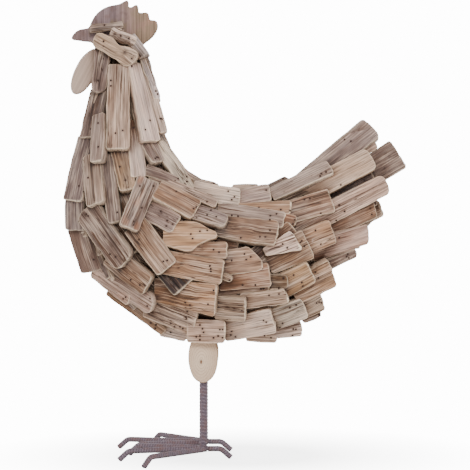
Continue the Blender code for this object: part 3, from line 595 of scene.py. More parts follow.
def slatRelief(plank, x, y):
    # height of the face: a cupped board with slow lumps, ridges along the grain, cut grooves,
    # dips at the nails and knots; also the grain's place across and how dark each point is
    looks, seed, flip = plank["looks"], plank["seed"], plank["flip"]
    rough = looks.get("rough", 0.5 if looks.get("smooth") else 1)
    half = np.mean(plank["widths"]) / 2
    wavy, knots = looks.get("wavy", 0.35), looks.get("knots", [])
    across = y + wavy * (0.7 * softNoise(x / 15, y / 16, seed + 21)
                         + 0.2 * softNoise(x / 6, y / 9, seed + 22))
    for kx, ky, size in knots:
        across = across + np.sign(y - ky) * roundHill(x, y, kx, ky, 2.2 * size) * size * 0.9
    height = -slatSkin["cup"] * (y / half) ** 2
    height = height + slatSkin["lumps"] * rough * softNoise(x / 15, y / 7, seed + 31)
    height = height + slatSkin["ridges"] * rough * softNoise(x / 30, across / 1.6, seed + 32)
    dark = np.zeros_like(x)
    for place, depth, width, start, end in looks.get("grooves", []):
        line = place * flip * half + softNoise(x / 17, x * 0, seed + 41) * 0.8
        u = x / plank["length"] * 2
        inside = np.clip((u - start) * 6, 0, 1) * np.clip((end - u) * 6, 0, 1)
        cut = np.exp(-((across - line) / width) ** 2) * inside
        height, dark = height - depth * cut, np.maximum(dark, cut * 0.75)
    for kx, ky, size in knots:
        near = roundHill(x, y, kx, ky, size)
        rings = 0.5 + 0.5 * np.sin(np.hypot(x - kx, y - ky) * 2.6)
        height = height - near * 0.9 * rings
        dark = np.maximum(dark, np.maximum(near * (0.4 + 0.3 * rings), roundHill(x, y, kx, ky, 0.7 * size)))
    for nail in looks["nails"]:
        dark = np.maximum(dark, roundHill(x, y, *nail, 1.5) * 0.6)
    return height, across, dark


def ringQuads(grid):
    # the faces between rings of point numbers, one ring to a row
    ahead = np.roll(grid, -1, axis=1)
    return np.stack([grid[:-1], ahead[:-1], ahead[1:], grid[1:]], -1).reshape(-1, 4)


def ringFan(ring, centre):
    # triangles from a ring of point numbers to one point
    return np.stack([ring, np.roll(ring, -1), np.full(len(ring), centre)], -1)


def slatBend(plank, x):
    # an arch along the slat: height = bend * (1 - 2 t^2), t from the middle, 0, to an end, 1
    return slatSkin["bend"] * (1 - 2 * (x / (plank["length"] / 2)) ** 2)


def wornAndLitEdges(plank, rng, u, v, x, y):
    # how pale the face is near its edges, from wear and a painted highlight, falling off inwards as
    # exp(-distance / width), and how
    # pale the rim is: most at the rear end and the lower side
    worn, edge = plank["looks"].get("worn", 1), slatSkin["edgeRound"]
    side = np.where(v * plank["flip"] < 0, *edgePaleness["side"]) * rng.uniform(0.5, 1.1) * worn
    end = np.where(u > 0, *edgePaleness["end"]) * rng.uniform(0.6, 1.1) * worn
    toEnd = plank["length"] / 2 - np.abs(x) - edge
    toSide = np.abs(slatOutline(plank, u, np.sign(v) + (v == 0), edge)[1]) - np.abs(y)
    face = np.maximum(side * np.exp(-toSide / edgePaleness["width"]), end * np.exp(-toEnd / edgePaleness["width"]))
    rim = np.maximum(side * (np.abs(v) > 0.999), end * (np.abs(u) > 0.999))
    return face * edgePaleness["onFace"], rim


def slatSurface(plank):
    # One slat as a skin over two parameters: the face is a grid, rounded rings go round its rim
    # down to the back, and a fan closes the back. Returns points, faces and what the wood reads.
    rng = np.random.default_rng(plank["seed"] + 7)
    looks, length, width = plank["looks"], plank["length"], max(plank["widths"])
    if not looks.get("nails"):
        count = rng.integers(1, 4)
        looks = {**looks, "nails": [(length * rng.uniform(0.26, 0.42), width * rng.uniform(-0.32, 0.32))
                                    for _ in range(count)]}
        plank = {**plank, "looks": looks}
    coarse = plank.get("coarse", 1)
    along = int(np.clip(length / slatSkin["stationLength"] / coarse, 12, 64))
    wide = int(np.clip(width / slatSkin["stationWidth"] / coarse, 7, 26))
    t, s = np.linspace(-1, 1, along), np.linspace(-1, 1, wide)
    t, s = t * (1.18 - 0.18 * t**2), s * (1.12 - 0.12 * s**2)
    u, v = (a.ravel() for a in np.meshgrid(t, s, indexing="ij"))
    grid = np.arange(along * wide).reshape(along, wide)
    rim = np.concatenate([grid[:-1, 0], grid[-1, :-1], grid[:0:-1, -1], grid[0, :0:-1]])
    thick, edge, under = sizes["slatThickness"], slatSkin["edgeRound"], slatSkin["underRound"]
    x, y = slatOutline(plank, u, v, edge)
    height, across, dark = slatRelief(plank, x, y)
    wear, rimPaleness = wornAndLitEdges(plank, rng, u, v, x, y)
    layers = [(np.stack([x, y, height], -1), np.stack([x, across, height], -1), wear, dark)]
    profile = [(edge * (1 - math.sin(math.radians(turn))), edge * (1 - math.cos(math.radians(turn))), share)
               for turn, share in slatSkin["rim"]]
    profile += [(0.0, thick - under, 0.25), (under, thick, 0.1)]
    for inset, drop, share in profile:  # how far in and down each ring lies, and how worn it is
        ringX, ringY = slatOutline(plank, u[rim], v[rim], inset)
        z = height[rim] * max(0.0, 1 - drop / (thick * 0.6)) - drop
        layers.append((np.stack([ringX, ringY, z], -1),
                       np.stack([ringX, across[rim] + ringY - y[rim], z], -1),
                       rimPaleness[rim] * share, np.full(len(rim), 0.0 if drop < edge else 0.25)))
    layers.append((np.array([[0, 0, -thick]]), np.array([[0, 0, -thick]]), np.zeros(1), np.full(1, 0.25)))
    points, grain, wear, dark = (np.concatenate(kind) for kind in zip(*layers))
    rings = grid.size + np.arange(len(profile) * len(rim)).reshape(len(profile), len(rim))
    rings = np.vstack([rim, rings])
    quads = np.concatenate([
        np.stack([grid[:-1, :-1], grid[1:, :-1], grid[1:, 1:], grid[:-1, 1:]], -1).reshape(-1, 4),
        np.roll(ringQuads(rings)[:, ::-1], 1, axis=1)])
    points[:, 2] += slatBend(plank, points[:, 0])
    tone = woodTones[plank["wood"]] * (1 + rng.normal(0, slatSkin["palette"]))
    tone = tone * (1 + rng.normal(0, 0.02, 3))
    tone = tone[None] * (1 - 0.9 * dark[:, None] * darkTint) ** 1.3
    if looks.get("rust"):
        stain = np.clip(softNoise(points[:, 0] / 12, points[:, 1] / 3, 77) * 1.5, 0, 1)[:, None]
        tone = tone * (1 - stain * (1 - rustTint))
    nails = np.array(looks["nails"])
    nailHeight = slatRelief(plank, *nails.T)[0] + slatBend(plank, nails[:, 0])
    streaks = looks.get("streaks", 1) * (0.45 if looks.get("smooth") else 1)
    return {"points": points @ plank["axes"] + plank["middle"], "quads": quads,
            "triangles": ringFan(rings[-1], len(points) - 1)[:, ::-1],
            "grain": grain + rng.uniform(-400, 400, 3), "tone": tone, "wear": wear,
            "streak": np.full(len(points), streaks), "out": plank["axes"][2],
            "nails": np.column_stack([nails, nailHeight]) @ plank["axes"] + plank["middle"]}


# painted shade where slats lie under their neighbours, and painted shadow below those that lie above
creviceShade = {
    "amount": 0.97,
    "near": 6.0,  # how far apart two slats may be to shade each other
    "sameWay": 0.3,  # the least cosine between their faces
    "drawnIn": 0.5,  # a neighbour's outline counts as this much smaller
    "reach": 0.62,
    "least": 0.5,
    "full": 6.5,
    "soft": 0.5,
    "softReach": 1.0,
    "softLeast": 1.5,
    "deepest": 14.0,  # the most that h counts for
    "fade": (28, 10),  # the shade is gone where h is 28, over the last 10 before it
    "wearLost": 0.6,
}


def paintCreviceShade(planks, skins):
    # painted shade where a slat lies under its neighbours: for a neighbour whose face is h above a
    # point that is d away from its outline, the share is (h / full) * exp(-d / (reach * h + least)),
    # or a softer, longer share, a painted shadow, where that is more and the neighbour lies above the point
    middles = np.array([plank["middle"] for plank in planks])
    reaches = np.array([math.hypot(plank["length"], max(plank["widths"])) / 2 for plank in planks])
    for index, skin in enumerate(skins):
        points, clear = skin["points"], np.ones(len(skin["points"]))
        apart = np.linalg.norm(middles - middles[index], axis=1)
        for other in np.flatnonzero(apart < reaches + reaches[index] + creviceShade["near"]):
            plank = planks[other]
            if other == index or plank["axes"][2] @ skin["out"] < creviceShade["sameWay"]:
                continue
            a, b, c = ((points - plank["middle"]) @ plank["axes"].T).T
            half = widthAt(plank, a / plank["length"] + 0.5) / 2
            past = np.maximum(np.abs(a) - plank["length"] / 2 + creviceShade["drawnIn"], 0)
            beside = np.maximum(np.abs(b) - half + creviceShade["drawnIn"], 0)
            away = np.hypot(past, beside)
            rise = -(np.sign(a) * past * plank["axes"][0][2] + np.sign(b) * beside * plank["axes"][1][2])
            below = np.clip(rise / (away + 0.5), 0, 1)
            under = np.clip(-c - 0.6, 0, creviceShade["deepest"])
            share = np.exp(-away / (creviceShade["reach"] * under + creviceShade["least"]))
            soft = np.exp(-away / (creviceShade["softReach"] * under + creviceShade["softLeast"]))
            soft *= creviceShade["soft"] * below
            share = np.maximum(share, soft) * np.clip(under / creviceShade["full"], 0, 1)
            clear *= 1 - share * np.clip((c + creviceShade["fade"][0]) / creviceShade["fade"][1], 0, 1)
        # the painted shade darkens the tone, and the pale edges fade under it
        dark = creviceShade["amount"] * (1 - clear) * planks[index].get("shaded", 1)
        skin["tone"] = skin["tone"] * (1 - dark[:, None] * darkTint)
        skin["wear"] = skin["wear"] * (1 - dark * creviceShade["wearLost"])


def placeObject(name, data):
    made = bpy.data.objects.new(name, data)
    bpy.context.scene.collection.objects.link(made)
    return made


def writeAttribute(mesh, name, kind, field, values):
    made = mesh.attributes.new(name, kind, "POINT")
    made.data.foreach_set(field, values.ravel().astype(np.float32))


def makePiece(name, skins, material, nodes=()):
    # joins skins into one mesh in metres, with the attributes that its wood reads
    mesh = bpy.data.meshes.new(name)
    starts = np.cumsum([0] + [len(skin["points"]) for skin in skins[:-1]])
    corners, counts = [], []
    for start, skin in zip(starts, skins):
        for faces in (skin["quads"], skin["triangles"]):
            corners.append((faces + start).ravel())
            counts.append(np.full(len(faces), faces.shape[1]))
    corners, counts = np.concatenate(corners), np.concatenate(counts)
    points = np.concatenate([skin["points"] for skin in skins])
    points = (points + np.array([sizes["centreShift"], 0, 0])) * 0.001
    mesh.vertices.add(len(points))
    mesh.vertices.foreach_set("co", points.ravel())
    mesh.loops.add(len(corners))
    mesh.loops.foreach_set("vertex_index", corners)
    mesh.polygons.add(len(counts))
    mesh.polygons.foreach_set("loop_start", np.append(0, np.cumsum(counts)[:-1]))
    mesh.update(calc_edges=True)
    for key, kind, field in (("grain", "FLOAT_VECTOR", "vector"), ("wear", "FLOAT", "value"),
                             ("streak", "FLOAT", "value")):
        if key in skins[0]:
            values = np.concatenate([skin[key] for skin in skins])
            writeAttribute(mesh, key, kind, field, values * 0.001 if key == "grain" else values)
    if "tone" in skins[0]:
        tones = np.concatenate([skin["tone"] for skin in skins])
        tones = np.column_stack([np.clip(tones, 0, 1), np.ones(len(tones))])
        writeAttribute(mesh, "tone", "FLOAT_COLOR", "color", tones)
    mesh.validate()
    mesh.shade_smooth()
    mesh.materials.append(material)
    piece = placeObject(name, mesh)
    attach(piece, "root")
    if nodes:
        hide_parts(*nodes)


# Other shapes


def spokes(angle, side, other):
    # for each pair of crosswise directions, the directions at the angles round them
    return (np.cos(angle)[None, :, None] * side[:, None] + np.sin(angle)[None, :, None] * other[:, None])


def revolveShape(points):
    # grid of rings: points has shape (rings, around, 3); rings join side by side and the ends fan shut
    rings, around = points.shape[:2]
    grid = np.arange(rings * around).reshape(rings, around)
    flat = np.vstack([points.reshape(-1, 3), points[0].mean(axis=0), points[-1].mean(axis=0)])
    fans = [ringFan(grid[0][::-1], grid.size), ringFan(grid[-1], grid.size + 1)]
    return {"points": flat, "quads": ringQuads(grid), "triangles": np.concatenate(fans)}


thigh = {
    "width": 32.0,
    "height": 54.0,
    "thickness": 18.0,
    "edgeRound": 1.4,
    "pith": (-2.2, -4.4),  # from the middle of the oval
    "squareness": 2.15,  # 2 makes an ellipse, more makes it squarer
}

wattle = {
    "middle": (-168.8, 421.6),
    "halfLength": 27.5,
    "halfWidth": 11.8,
    "lean": -27.0,
    "edgeRound": 2.6,
}


sliceMesh = {"around": 96, "rings": 22, "innermost": 0.02, "edgeTurns": (30, 60, 90), "wander": 0.012}


def ovalSlice(halfWide, halfHigh, thickness, edge, power, seed, ripple):
    # a sliced branch seen from its cut face: a closed oval x = a|cos|^(2/n), z = b|sin|^(2/n),
    # carried over a profile from the middle of one face, round the rim, to the middle of the other
    angle = np.linspace(0, 2 * np.pi, sliceMesh["around"], endpoint=False)
    wander = 1 + sliceMesh["wander"] * softNoise(angle * 2.2, angle * 0, seed) * np.sin(angle / 2) ** 2
    ovalX, ovalZ = (np.sign(wave) * np.abs(wave) ** (2 / power) * wander
                    for wave in (np.cos(angle), np.sin(angle)))
    face = [(share, 0.0, 0.0) for share in np.linspace(sliceMesh["innermost"], 1, sliceMesh["rings"])]
    turn = [(1.0, edge * math.sin(a), edge * (1 - math.cos(a))) for a in np.radians(sliceMesh["edgeTurns"])]
    rings = []
    for side, rows in ((-1, face + turn), (1, (face + turn)[::-1])):
        for share, outward, drop in rows:
            x = ovalX * ((halfWide - edge) * share + outward)
            z = ovalZ * ((halfHigh - edge) * share + outward)
            y = side * (thickness / 2 - drop) + 0 * x
            if drop == 0:
                y = y + side * ripple * softNoise(x / 5, z / 5, seed + (side > 0))
            rings.append(np.stack([x, y, z], -1))
    return revolveShape(np.array(rings))


def spinY(points, degrees):
    # turns points about the view axis, leaning a piece in the picture's plane
    turn = math.radians(degrees)
    x, z = points[:, 0], points[:, 2]
    return np.column_stack([x * math.cos(turn) - z * math.sin(turn), points[:, 1],
                            x * math.sin(turn) + z * math.cos(turn)])


bar = {
    "ribPitch": 3.7,
    "ribHeight": 0.45,
    "ribLean": 0.9,
    "ribWidth": 0.17,  # as a share of the pitch
    "ribRadius": 4.25,  # the bar radius that the rib heights are meant for
    "seamHeight": 0.35,  # the two lengthwise ribs
    "seamWidth": 0.22,
    "around": 20,
    "station": 0.55,
}


def ribbedBar(path, radius, seed, pitch=None, turned=0.0):
    # a bar carried along a path: at each station a circle of radius r + ribs, where the slanting
    # ribs rise as a narrow ridge of distance along plus angle, and two seams run lengthwise,
    # turned round the bar by an angle
    path = np.array(path, float)
    run = runAlong(path)
    count = max(int(run[-1] / bar["station"]), 8)
    s = np.linspace(0, run[-1], count)
    line = np.column_stack([np.interp(s, run, path[:, k]) for k in range(3)])
    line[2:-2] = np.column_stack([np.convolve(line[:, k], np.ones(5) / 5, "valid") for k in range(3)])
    way = unitRows(np.gradient(line, axis=0))
    side = unitRows(np.cross(way, np.array([0.03, 1.0, 0.02])))
    angle = np.linspace(0, 2 * np.pi, bar["around"], endpoint=False)
    half = np.where(np.sin(angle - turned) >= 0, 1, -1)
    pitch = pitch or bar["ribPitch"]
    phase = s[:, None] / pitch + half[None] * bar["ribLean"] * angle[None] / np.pi + seed * 0.37
    across = np.sin(angle - turned)[None]
    ridge = np.exp(-(((phase % 1) - 0.5) / bar["ribWidth"]) ** 2) * np.clip(np.abs(across) * 1.6, 0, 1)
    seam = np.exp(-(across / bar["seamWidth"]) ** 2)
    scale = radius / bar["ribRadius"]
    core = radius - bar["ribHeight"] * scale
    r = core + scale * (bar["ribHeight"] * ridge + bar["seamHeight"] * seam)
    r = r + 0.06 * softNoise(s[:, None] / 1.3 + angle[None] * 0, angle[None] * 1.5 + s[:, None] * 0, seed)
    r = np.minimum(r, radius)
    shown = np.clip((r - core) / (radius - core), 0, 1)
    skin = revolveShape(line[:, None] + r[..., None] * spokes(angle, side, np.cross(way, side)))
    skin["wear"] = np.append(shown.ravel(), [0.5, 0.5])
    return skin


foot = {
    "clawReach": 12.5,
    "bendRadius": 1.5,
    "tipWear": 0.7,
    "outerLength": 85.0,
    "middleLength": 77.5,
    "innerLength": 74.0,
    "rearLength": 14.5,
    "rightExtra": 8.0,  # the right foot's middle toe reaches further
    "splay": {"outer": 51, "middle": 16, "inner": -15},
    "socket": 18.0,
    "weld": 5.6,
    "gap": 0.3,
}


def toePath(start, heading, length):
    # straight out, round a bend, and down to the floor
    along = np.array([math.cos(heading), math.sin(heading), 0])
    slope = math.atan2(sizes["toeHeight"], foot["clawReach"])
    radius = sizes["toeBar"] * foot["bendRadius"]
    out = length - radius * math.tan(slope / 2)
    points = [start]
    for angle in np.linspace(0, slope, 7):
        points.append(start + along * (out + radius * math.sin(angle))
                      - np.array([0, 0, radius * (1 - math.cos(angle))]))
    left = points[-1][2] - sizes["toeBar"] / 2 * math.cos(slope) * foot["tipWear"]
    down = along * math.cos(slope) - np.array([0, 0, math.sin(slope)])
    return points + [points[-1] + down * left / math.sin(slope)]


def weldBlob(middle, reach, seed):
    # a lumpy round bead: a ball whose radius wanders with both angles
    rings, around = 14, 20
    up = np.linspace(0.05, math.pi - 0.05, rings)[:, None]
    turn = np.linspace(0, 2 * np.pi, around, endpoint=False)[None]
    r = 1 + 0.22 * softNoise(up * 2.2 + turn * 0, np.cos(turn) * 2 + np.sin(turn) * 2.6 + up * 0, seed)
    ball = np.stack([r * np.sin(up) * np.cos(turn), r * np.sin(up) * np.sin(turn), r * np.cos(up)], -1)
    skin = revolveShape((ball * reach + middle)[::-1])
    skin["wear"] = np.full(len(skin["points"]), 0.25)
    return skin


def legSkins(sign):
    # one leg: its upright bar, three toes and a short rear one, and the weld that joins them
    x, y = sizes["legX"], sign * sizes["legSpacing"] / 2
    ankle = np.array([x, y, sizes["toeHeight"]])
    top = sizes["thighZ"] - thigh["height"] / 2 + foot["socket"]
    low = sizes["toeHeight"] - sizes["toeBar"] / 2
    skins = [ribbedBar([(x, y, low), (x, y, top)], sizes["legBar"] / 2, 3, turned=math.radians(55))]
    beside = sizes["legBar"] / 2 + sizes["toeBar"] / 2 + foot["gap"]
    ahead = sizes["legBar"] / 2 + foot["gap"]
    splay = foot["splay"]
    toes = [(splay["outer"], (0, sign * beside, 0), foot["outerLength"]),
            (splay["middle"], (-ahead, 0, 0), foot["middleLength"] + foot["rightExtra"] * (sign > 0)),
            (splay["inner"], (0, -sign * beside, 0), foot["innerLength"])]
    paths = [toePath(ankle + np.array(offset), math.pi - sign * math.radians(turn), length)
             for turn, offset, length in toes]
    paths.append(toePath(ankle + np.array([ahead, 0, 0]), 0.0, foot["rearLength"]))
    for number, path in enumerate(paths):
        skin = ribbedBar(path, sizes["toeBar"] / 2, number, pitch=2.9)
        skin["points"][:, 2] = np.maximum(skin["points"][:, 2], 0)
        skins.append(skin)
    reach = foot["weld"] * np.array([1.15, 1.35, 0.62])
    skins.append(weldBlob(ankle + np.array([0, 0, 0.5]), reach, 5 + sign))
    return skins


headOutline = [  # the board's outline from the beak's tip over the comb and back under the head
    (-184.3, 457.3), (-183.6, 459.8), (-181.5, 462.8), (-178.3, 466), (-173.6, 468), (-168, 468.5),
    (-164.6, 469.6), (-162.4, 475.5), (-159.1, 481.5), (-155.1, 486.2), (-149.4, 490.5), (-143, 493.3),
    (-136.5, 494.6), (-132.9, 495), (-130, 496.2), (-126.9, 498), (-124, 499.6), (-122.1, 499.9),
    (-121.2, 498.6), (-121.4, 495.6), (-121.8, 493.2), (-120.4, 491.8), (-117.6, 492), (-115.4, 493.6),
    (-113.6, 495), (-111.9, 495.1), (-110.7, 493.6), (-110.6, 490.8), (-110.9, 487.8), (-109.4, 485.8),
    (-106.5, 485.8), (-103.1, 486.5), (-100.3, 486.3), (-98.9, 484.4), (-98.7, 481.5), (-98.9, 479.4),
    (-97.2, 477.8), (-94.6, 477.9), (-91.8, 477.8), (-89.8, 476.3), (-89, 473), (-89.3, 469.8),
    (-90.8, 465.8), (-93.6, 461.4), (-97.8, 457.3), (-102.7, 453.7), (-106, 451), (-108, 436),
    (-110.5, 420), (-118, 404.5), (-136, 404.5), (-146, 425), (-152.5, 447.5), (-162.7, 453.9),
    (-165.6, 454.6), (-171.2, 455), (-176.9, 456.1), (-182.6, 456.6),
]


boardCut = {"edgeRound": 1.1, "steps": 260, "sharpFrom": 50}


def headBoard(material):
    # a sawn board: its outline as a filled flat curve with a rounded edge, stood upright
    curve = bpy.data.curves.new("headBoardOutline", "CURVE")
    curve.dimensions, curve.fill_mode = "2D", "BOTH"
    edge = boardCut["edgeRound"]
    curve.extrude = (sizes["boardThickness"] / 2 - edge) * 0.001
    curve.bevel_depth, curve.bevel_resolution, curve.offset = edge * 0.001, 3, -edge * 0.001
    line = curve.splines.new("POLY")
    outline = (np.array(headOutline) + np.array([sizes["centreShift"], 0])) * 0.001
    closed = np.vstack([outline, outline[:1]])
    run = runAlong(closed)
    steps = np.linspace(0, run[-1], boardCut["steps"], endpoint=False)
    dense = np.column_stack([np.interp(steps, run, closed[:, k]) for k in (0, 1)])
    ease = np.array([1, 2, 3, 2, 1]) / 9
    dense = np.vstack([dense[-2:], dense, dense[:2]])
    eased = [np.convolve(dense[:, k], ease, "valid") for k in (0, 1)]
    line.points.add(len(steps) - 1)
    places = np.column_stack([*eased, np.zeros(len(steps)), np.ones(len(steps))])
    line.points.foreach_set("co", places.ravel())
    line.use_cyclic_u = True
    flat = placeObject("headBoardFlat", curve)
    mesh = bpy.data.meshes.new_from_object(flat.evaluated_get(bpy.context.evaluated_depsgraph_get()))
    bpy.data.objects.remove(flat)
    bm = bmesh.new()
    bm.from_mesh(mesh)
    bmesh.ops.remove_doubles(bm, verts=bm.verts, dist=1e-6)
    for vert in bm.verts:
        vert.co = (vert.co.x, -vert.co.z, vert.co.y)
    bmesh.ops.recalc_face_normals(bm, faces=bm.faces)
    bm.to_mesh(mesh)
    bm.free()
    mesh.name = "headBoard"
    mesh.materials.clear()
    mesh.materials.append(material)
    mesh.shade_smooth()
    mesh.set_sharp_from_angle(angle=math.radians(boardCut["sharpFrom"]))
    co = np.zeros(len(mesh.vertices) * 3)
    mesh.vertices.foreach_get("co", co)
    writeAttribute(mesh, "grain", "FLOAT_VECTOR", "vector", co.reshape(-1, 3)[:, [2, 0, 1]])
    piece = placeObject("headBoard", mesh)
    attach(piece, "root")
    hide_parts("head_board")


core = {
    "inset": 13.0,
    "rearInset": 22.5,
    "rearPlaces": (7.2, 8.0),  # where on the spine the inset grows to the rear one
    "least": 3.0,
    "ends": (0.9, 9.3),
    "rings": 34,
    "around": 36,
}


def coreSkin():
    # the inside behind the slats, coloured dark as painted shade: oval rings along the spine, drawn in from
    # the form
    rings = []
    for place in np.linspace(*core["ends"], core["rings"]):
        x, z, halfHeight, halfDepth = spineAt(place)
        inset = np.interp(place, core["rearPlaces"], (core["inset"], core["rearInset"]))
        up = max(halfHeight - inset, core["least"]) / halfHeight
        deep = max(halfDepth - inset, core["least"]) / halfDepth
        ring = [rimPoint(place, 360 * k / core["around"], 0)[0] for k in range(core["around"])]
        middle = np.array([x, 0, z])
        rings.append((np.array(ring) - middle) * np.array([up, deep, up]) + middle)
    return revolveShape(np.array(rings))


nailHead = {"radius": 1.05, "proud": 0.38, "around": 8}


def nailSkins(places):
    # flat dark heads: for each, a low cone ring and a rim, laid on the slat's face
    angle = np.linspace(0, 2 * np.pi, nailHead["around"], endpoint=False)
    centres = np.array([place for place, _ in places])
    outs = np.array([out for _, out in places])
    side = unitRows(np.cross(outs, np.array([0.2, 0.1, 1.0])))
    ring = spokes(angle, side, np.cross(outs, side))
    proud, r = nailHead["proud"], nailHead["radius"]
    levels = [(r, -0.9), (r, proud * 0.6), (r * 0.7, proud)]
    points = np.stack([centres[:, None] + ring * radius + outs[:, None] * up for radius, up in levels], 1)
    top = (centres + outs * (proud - 0.25))[:, None, None] + 0 * points[:, :1, :1]
    n, k = len(centres), nailHead["around"]
    flat = np.concatenate([points.reshape(n, -1, 3), top.reshape(n, 1, 3)], 1)
    grid = np.arange(3 * k).reshape(3, k)
    shift = (np.arange(n) * (3 * k + 1))[:, None, None]
    return {"points": flat.reshape(-1, 3), "quads": (ringQuads(grid)[None] + shift).reshape(-1, 4),
            "triangles": (ringFan(grid[2], 3 * k)[None] + shift).reshape(-1, 3)}


# Finishes: shared effects are node groups, each with named inputs and outputs


def newGroup(name, inputs, outputs):
    group = bpy.data.node_groups.new(name, "ShaderNodeTree")
    kinds = {"vector": "NodeSocketVector", "value": "NodeSocketFloat", "colour": "NodeSocketColor"}
    for socket, kind, start in inputs:
        made = group.interface.new_socket(socket, in_out="INPUT", socket_type=kinds[kind])
        if start is not None:
            made.default_value = start
    for socket, kind in outputs:
        group.interface.new_socket(socket, in_out="OUTPUT", socket_type=kinds[kind])
    return group, group.nodes.new("NodeGroupInput"), group.nodes.new("NodeGroupOutput")


def addNode(tree, kind, settings=None, **inputs):
    # a node with its settings, and each named or numbered input either linked or given a value
    node = tree.nodes.new(kind)
    for key, value in (settings or {}).items():
        setattr(node, key, value)
    for key, value in inputs.items():
        numbered = key[0] == "i" and key[1:].isdigit()
        socket = node.inputs[int(key[1:]) if numbered else key.replace("_", " ")]
        if isinstance(value, bpy.types.NodeSocket):
            tree.links.new(value, socket)
        else:
            socket.default_value = value
    return node


def calc(tree, operation, a, b=0.0, clamp=False):
    settings = {"operation": operation, "use_clamp": clamp}
    return addNode(tree, "ShaderNodeMath", settings, i0=a, i1=b).outputs[0]


def times(tree, a, b, clamp=False):
    return calc(tree, "MULTIPLY", a, b, clamp)


def vectorCalc(tree, operation, a, b=(0, 0, 0)):
    return addNode(tree, "ShaderNodeVectorMath", {"operation": operation}, i0=a, i1=b).outputs


def ramp(tree, value, low, high, fromZero=0.0, toOne=1.0):
    return addNode(tree, "ShaderNodeMapRange", {"clamp": True}, i0=value, i1=low, i2=high,
                   i3=fromZero, i4=toOne).outputs[0]


def stretchedNoise(tree, vector, scale, detail=3.0, rough=0.55, warp=0.0):
    placed = addNode(tree, "ShaderNodeMapping", None, Vector=vector, Scale=scale).outputs[0]
    return addNode(tree, "ShaderNodeTexNoise", None, Vector=placed, Scale=1.0, Detail=detail,
                   Roughness=rough, Distortion=warp).outputs["Fac"]


def colour4(value):
    return (*[float(part) for part in value], 1.0)


def blendColour(tree, amount, a, b, mode="MIX"):
    # each colour comes from another node or is given as red, green and blue
    a, b = (value if isinstance(value, bpy.types.NodeSocket) else colour4(value) for value in (a, b))
    settings = {"data_type": "RGBA", "blend_type": mode}
    return addNode(tree, "ShaderNodeMix", settings, i0=amount, i6=a, i7=b).outputs[2]


def shadeBy(tree, colour, shade):
    grey = addNode(tree, "ShaderNodeCombineColor", None, i0=shade, i1=shade, i2=shade).outputs[0]
    return blendColour(tree, 1.0, colour, grey, "MULTIPLY")


def objectPlace(tree):
    return tree.nodes.new("ShaderNodeTexCoord").outputs["Object"]


def axisOf(tree, vector, axis):
    return addNode(tree, "ShaderNodeSeparateXYZ", None, Vector=vector).outputs[axis]


def facing(tree, axis):
    return axisOf(tree, tree.nodes.new("ShaderNodeNewGeometry").outputs["Normal"], axis)


def weatheredGrain():
    # grain that runs along x of its place: bands and fibres as light and dark, and dark lines and
    # cracks where two stretched noises run low; the height follows the same bands
    amounts = [(name, "value", 1.0) for name in ("Bands", "Fibres", "Lines", "Cracks")]
    results = [(name, "value") for name in ("Shade", "Line", "Crack", "Patch", "Height")]
    group, start, end = newGroup("weatheredGrain", [("Place", "vector", None), *amounts], results)
    place = start.outputs["Place"]
    bands = stretchedNoise(group, place, (9, 430, 430), 3, 0.55, 0.25)
    fibres = stretchedNoise(group, place, (24, 950, 950), 3, 0.6)
    patch = stretchedNoise(group, place, (26, 85, 85), 3, 0.5)
    shade = times(group, calc(group, "SUBTRACT", bands, 0.5), start.outputs["Bands"])
    fine = times(group, calc(group, "SUBTRACT", fibres, 0.5), start.outputs["Fibres"])
    total = calc(group, "ADD", 1.0, calc(group, "ADD", shade, fine))
    thin = stretchedNoise(group, place, (13, 600, 600), 2, 0.5, 0.35)
    where = ramp(group, stretchedNoise(group, place, (20, 80, 80), 2, 0.5), 0.42, 0.62)
    lines = times(group, ramp(group, thin, 0.455, 0.40), where)
    lines = times(group, lines, start.outputs["Lines"], True)
    split = stretchedNoise(group, place, (13, 190, 190), 3, 0.5, 0.35)
    off = calc(group, "ABSOLUTE", calc(group, "SUBTRACT", split, 0.52))
    narrow = ramp(group, off, 0.006, 0.02, 1.0, 0.0)
    rare = ramp(group, stretchedNoise(group, place, (20, 45, 45), 1, 0.5), 0.5, 0.62)
    crack = times(group, times(group, narrow, rare), start.outputs["Cracks"], True)
    height = calc(group, "ADD", times(group, bands, 0.6), times(group, fibres, 0.35))
    height = calc(group, "SUBTRACT", height, times(group, lines, 0.35))
    height = calc(group, "SUBTRACT", height, times(group, crack, 0.7))
    for name, value in (("Shade", total), ("Line", lines), ("Crack", crack), ("Patch", patch),
                        ("Height", height)):
        group.links.new(value, end.inputs[name])
    return group


def edgeWearAndHighlight():
    # paler where the wear attribute is high, broken up by noise: worn edges with a painted highlight
    group, start, end = newGroup("edgeWearAndHighlight", [
        ("Colour", "colour", None), ("Worn Colour", "colour", (0.7, 0.6, 0.5, 1)), ("Wear", "value", 0.0),
        ("Place", "vector", None), ("Amount", "value", 1.0)], [("Colour", "colour")])
    broken = stretchedNoise(group, start.outputs["Place"], (160, 420, 420), 2, 0.6)
    amount = times(group, start.outputs["Wear"], ramp(group, broken, 0.32, 0.58, 0.35, 1.0))
    amount = times(group, amount, start.outputs["Amount"], True)
    group.links.new(blendColour(group, amount, start.outputs["Colour"], start.outputs["Worn Colour"]),
                    end.inputs["Colour"])
    return group


def softDust():
    # grey settled in what faces up, thin and patchy
    group, start, end = newGroup("softDust", [
        ("Colour", "colour", None), ("Dust Colour", "colour", (0.4, 0.37, 0.34, 1)),
        ("Amount", "value", 0.2)], [("Colour", "colour")])
    patch = stretchedNoise(group, objectPlace(group), (60, 60, 60), 3, 0.6)
    amount = times(group, ramp(group, facing(group, 2), -0.2, 0.9), ramp(group, patch, 0.3, 0.7))
    amount = times(group, amount, start.outputs["Amount"], True)
    group.links.new(blendColour(group, amount, start.outputs["Colour"], start.outputs["Dust Colour"]),
                    end.inputs["Colour"])
    return group


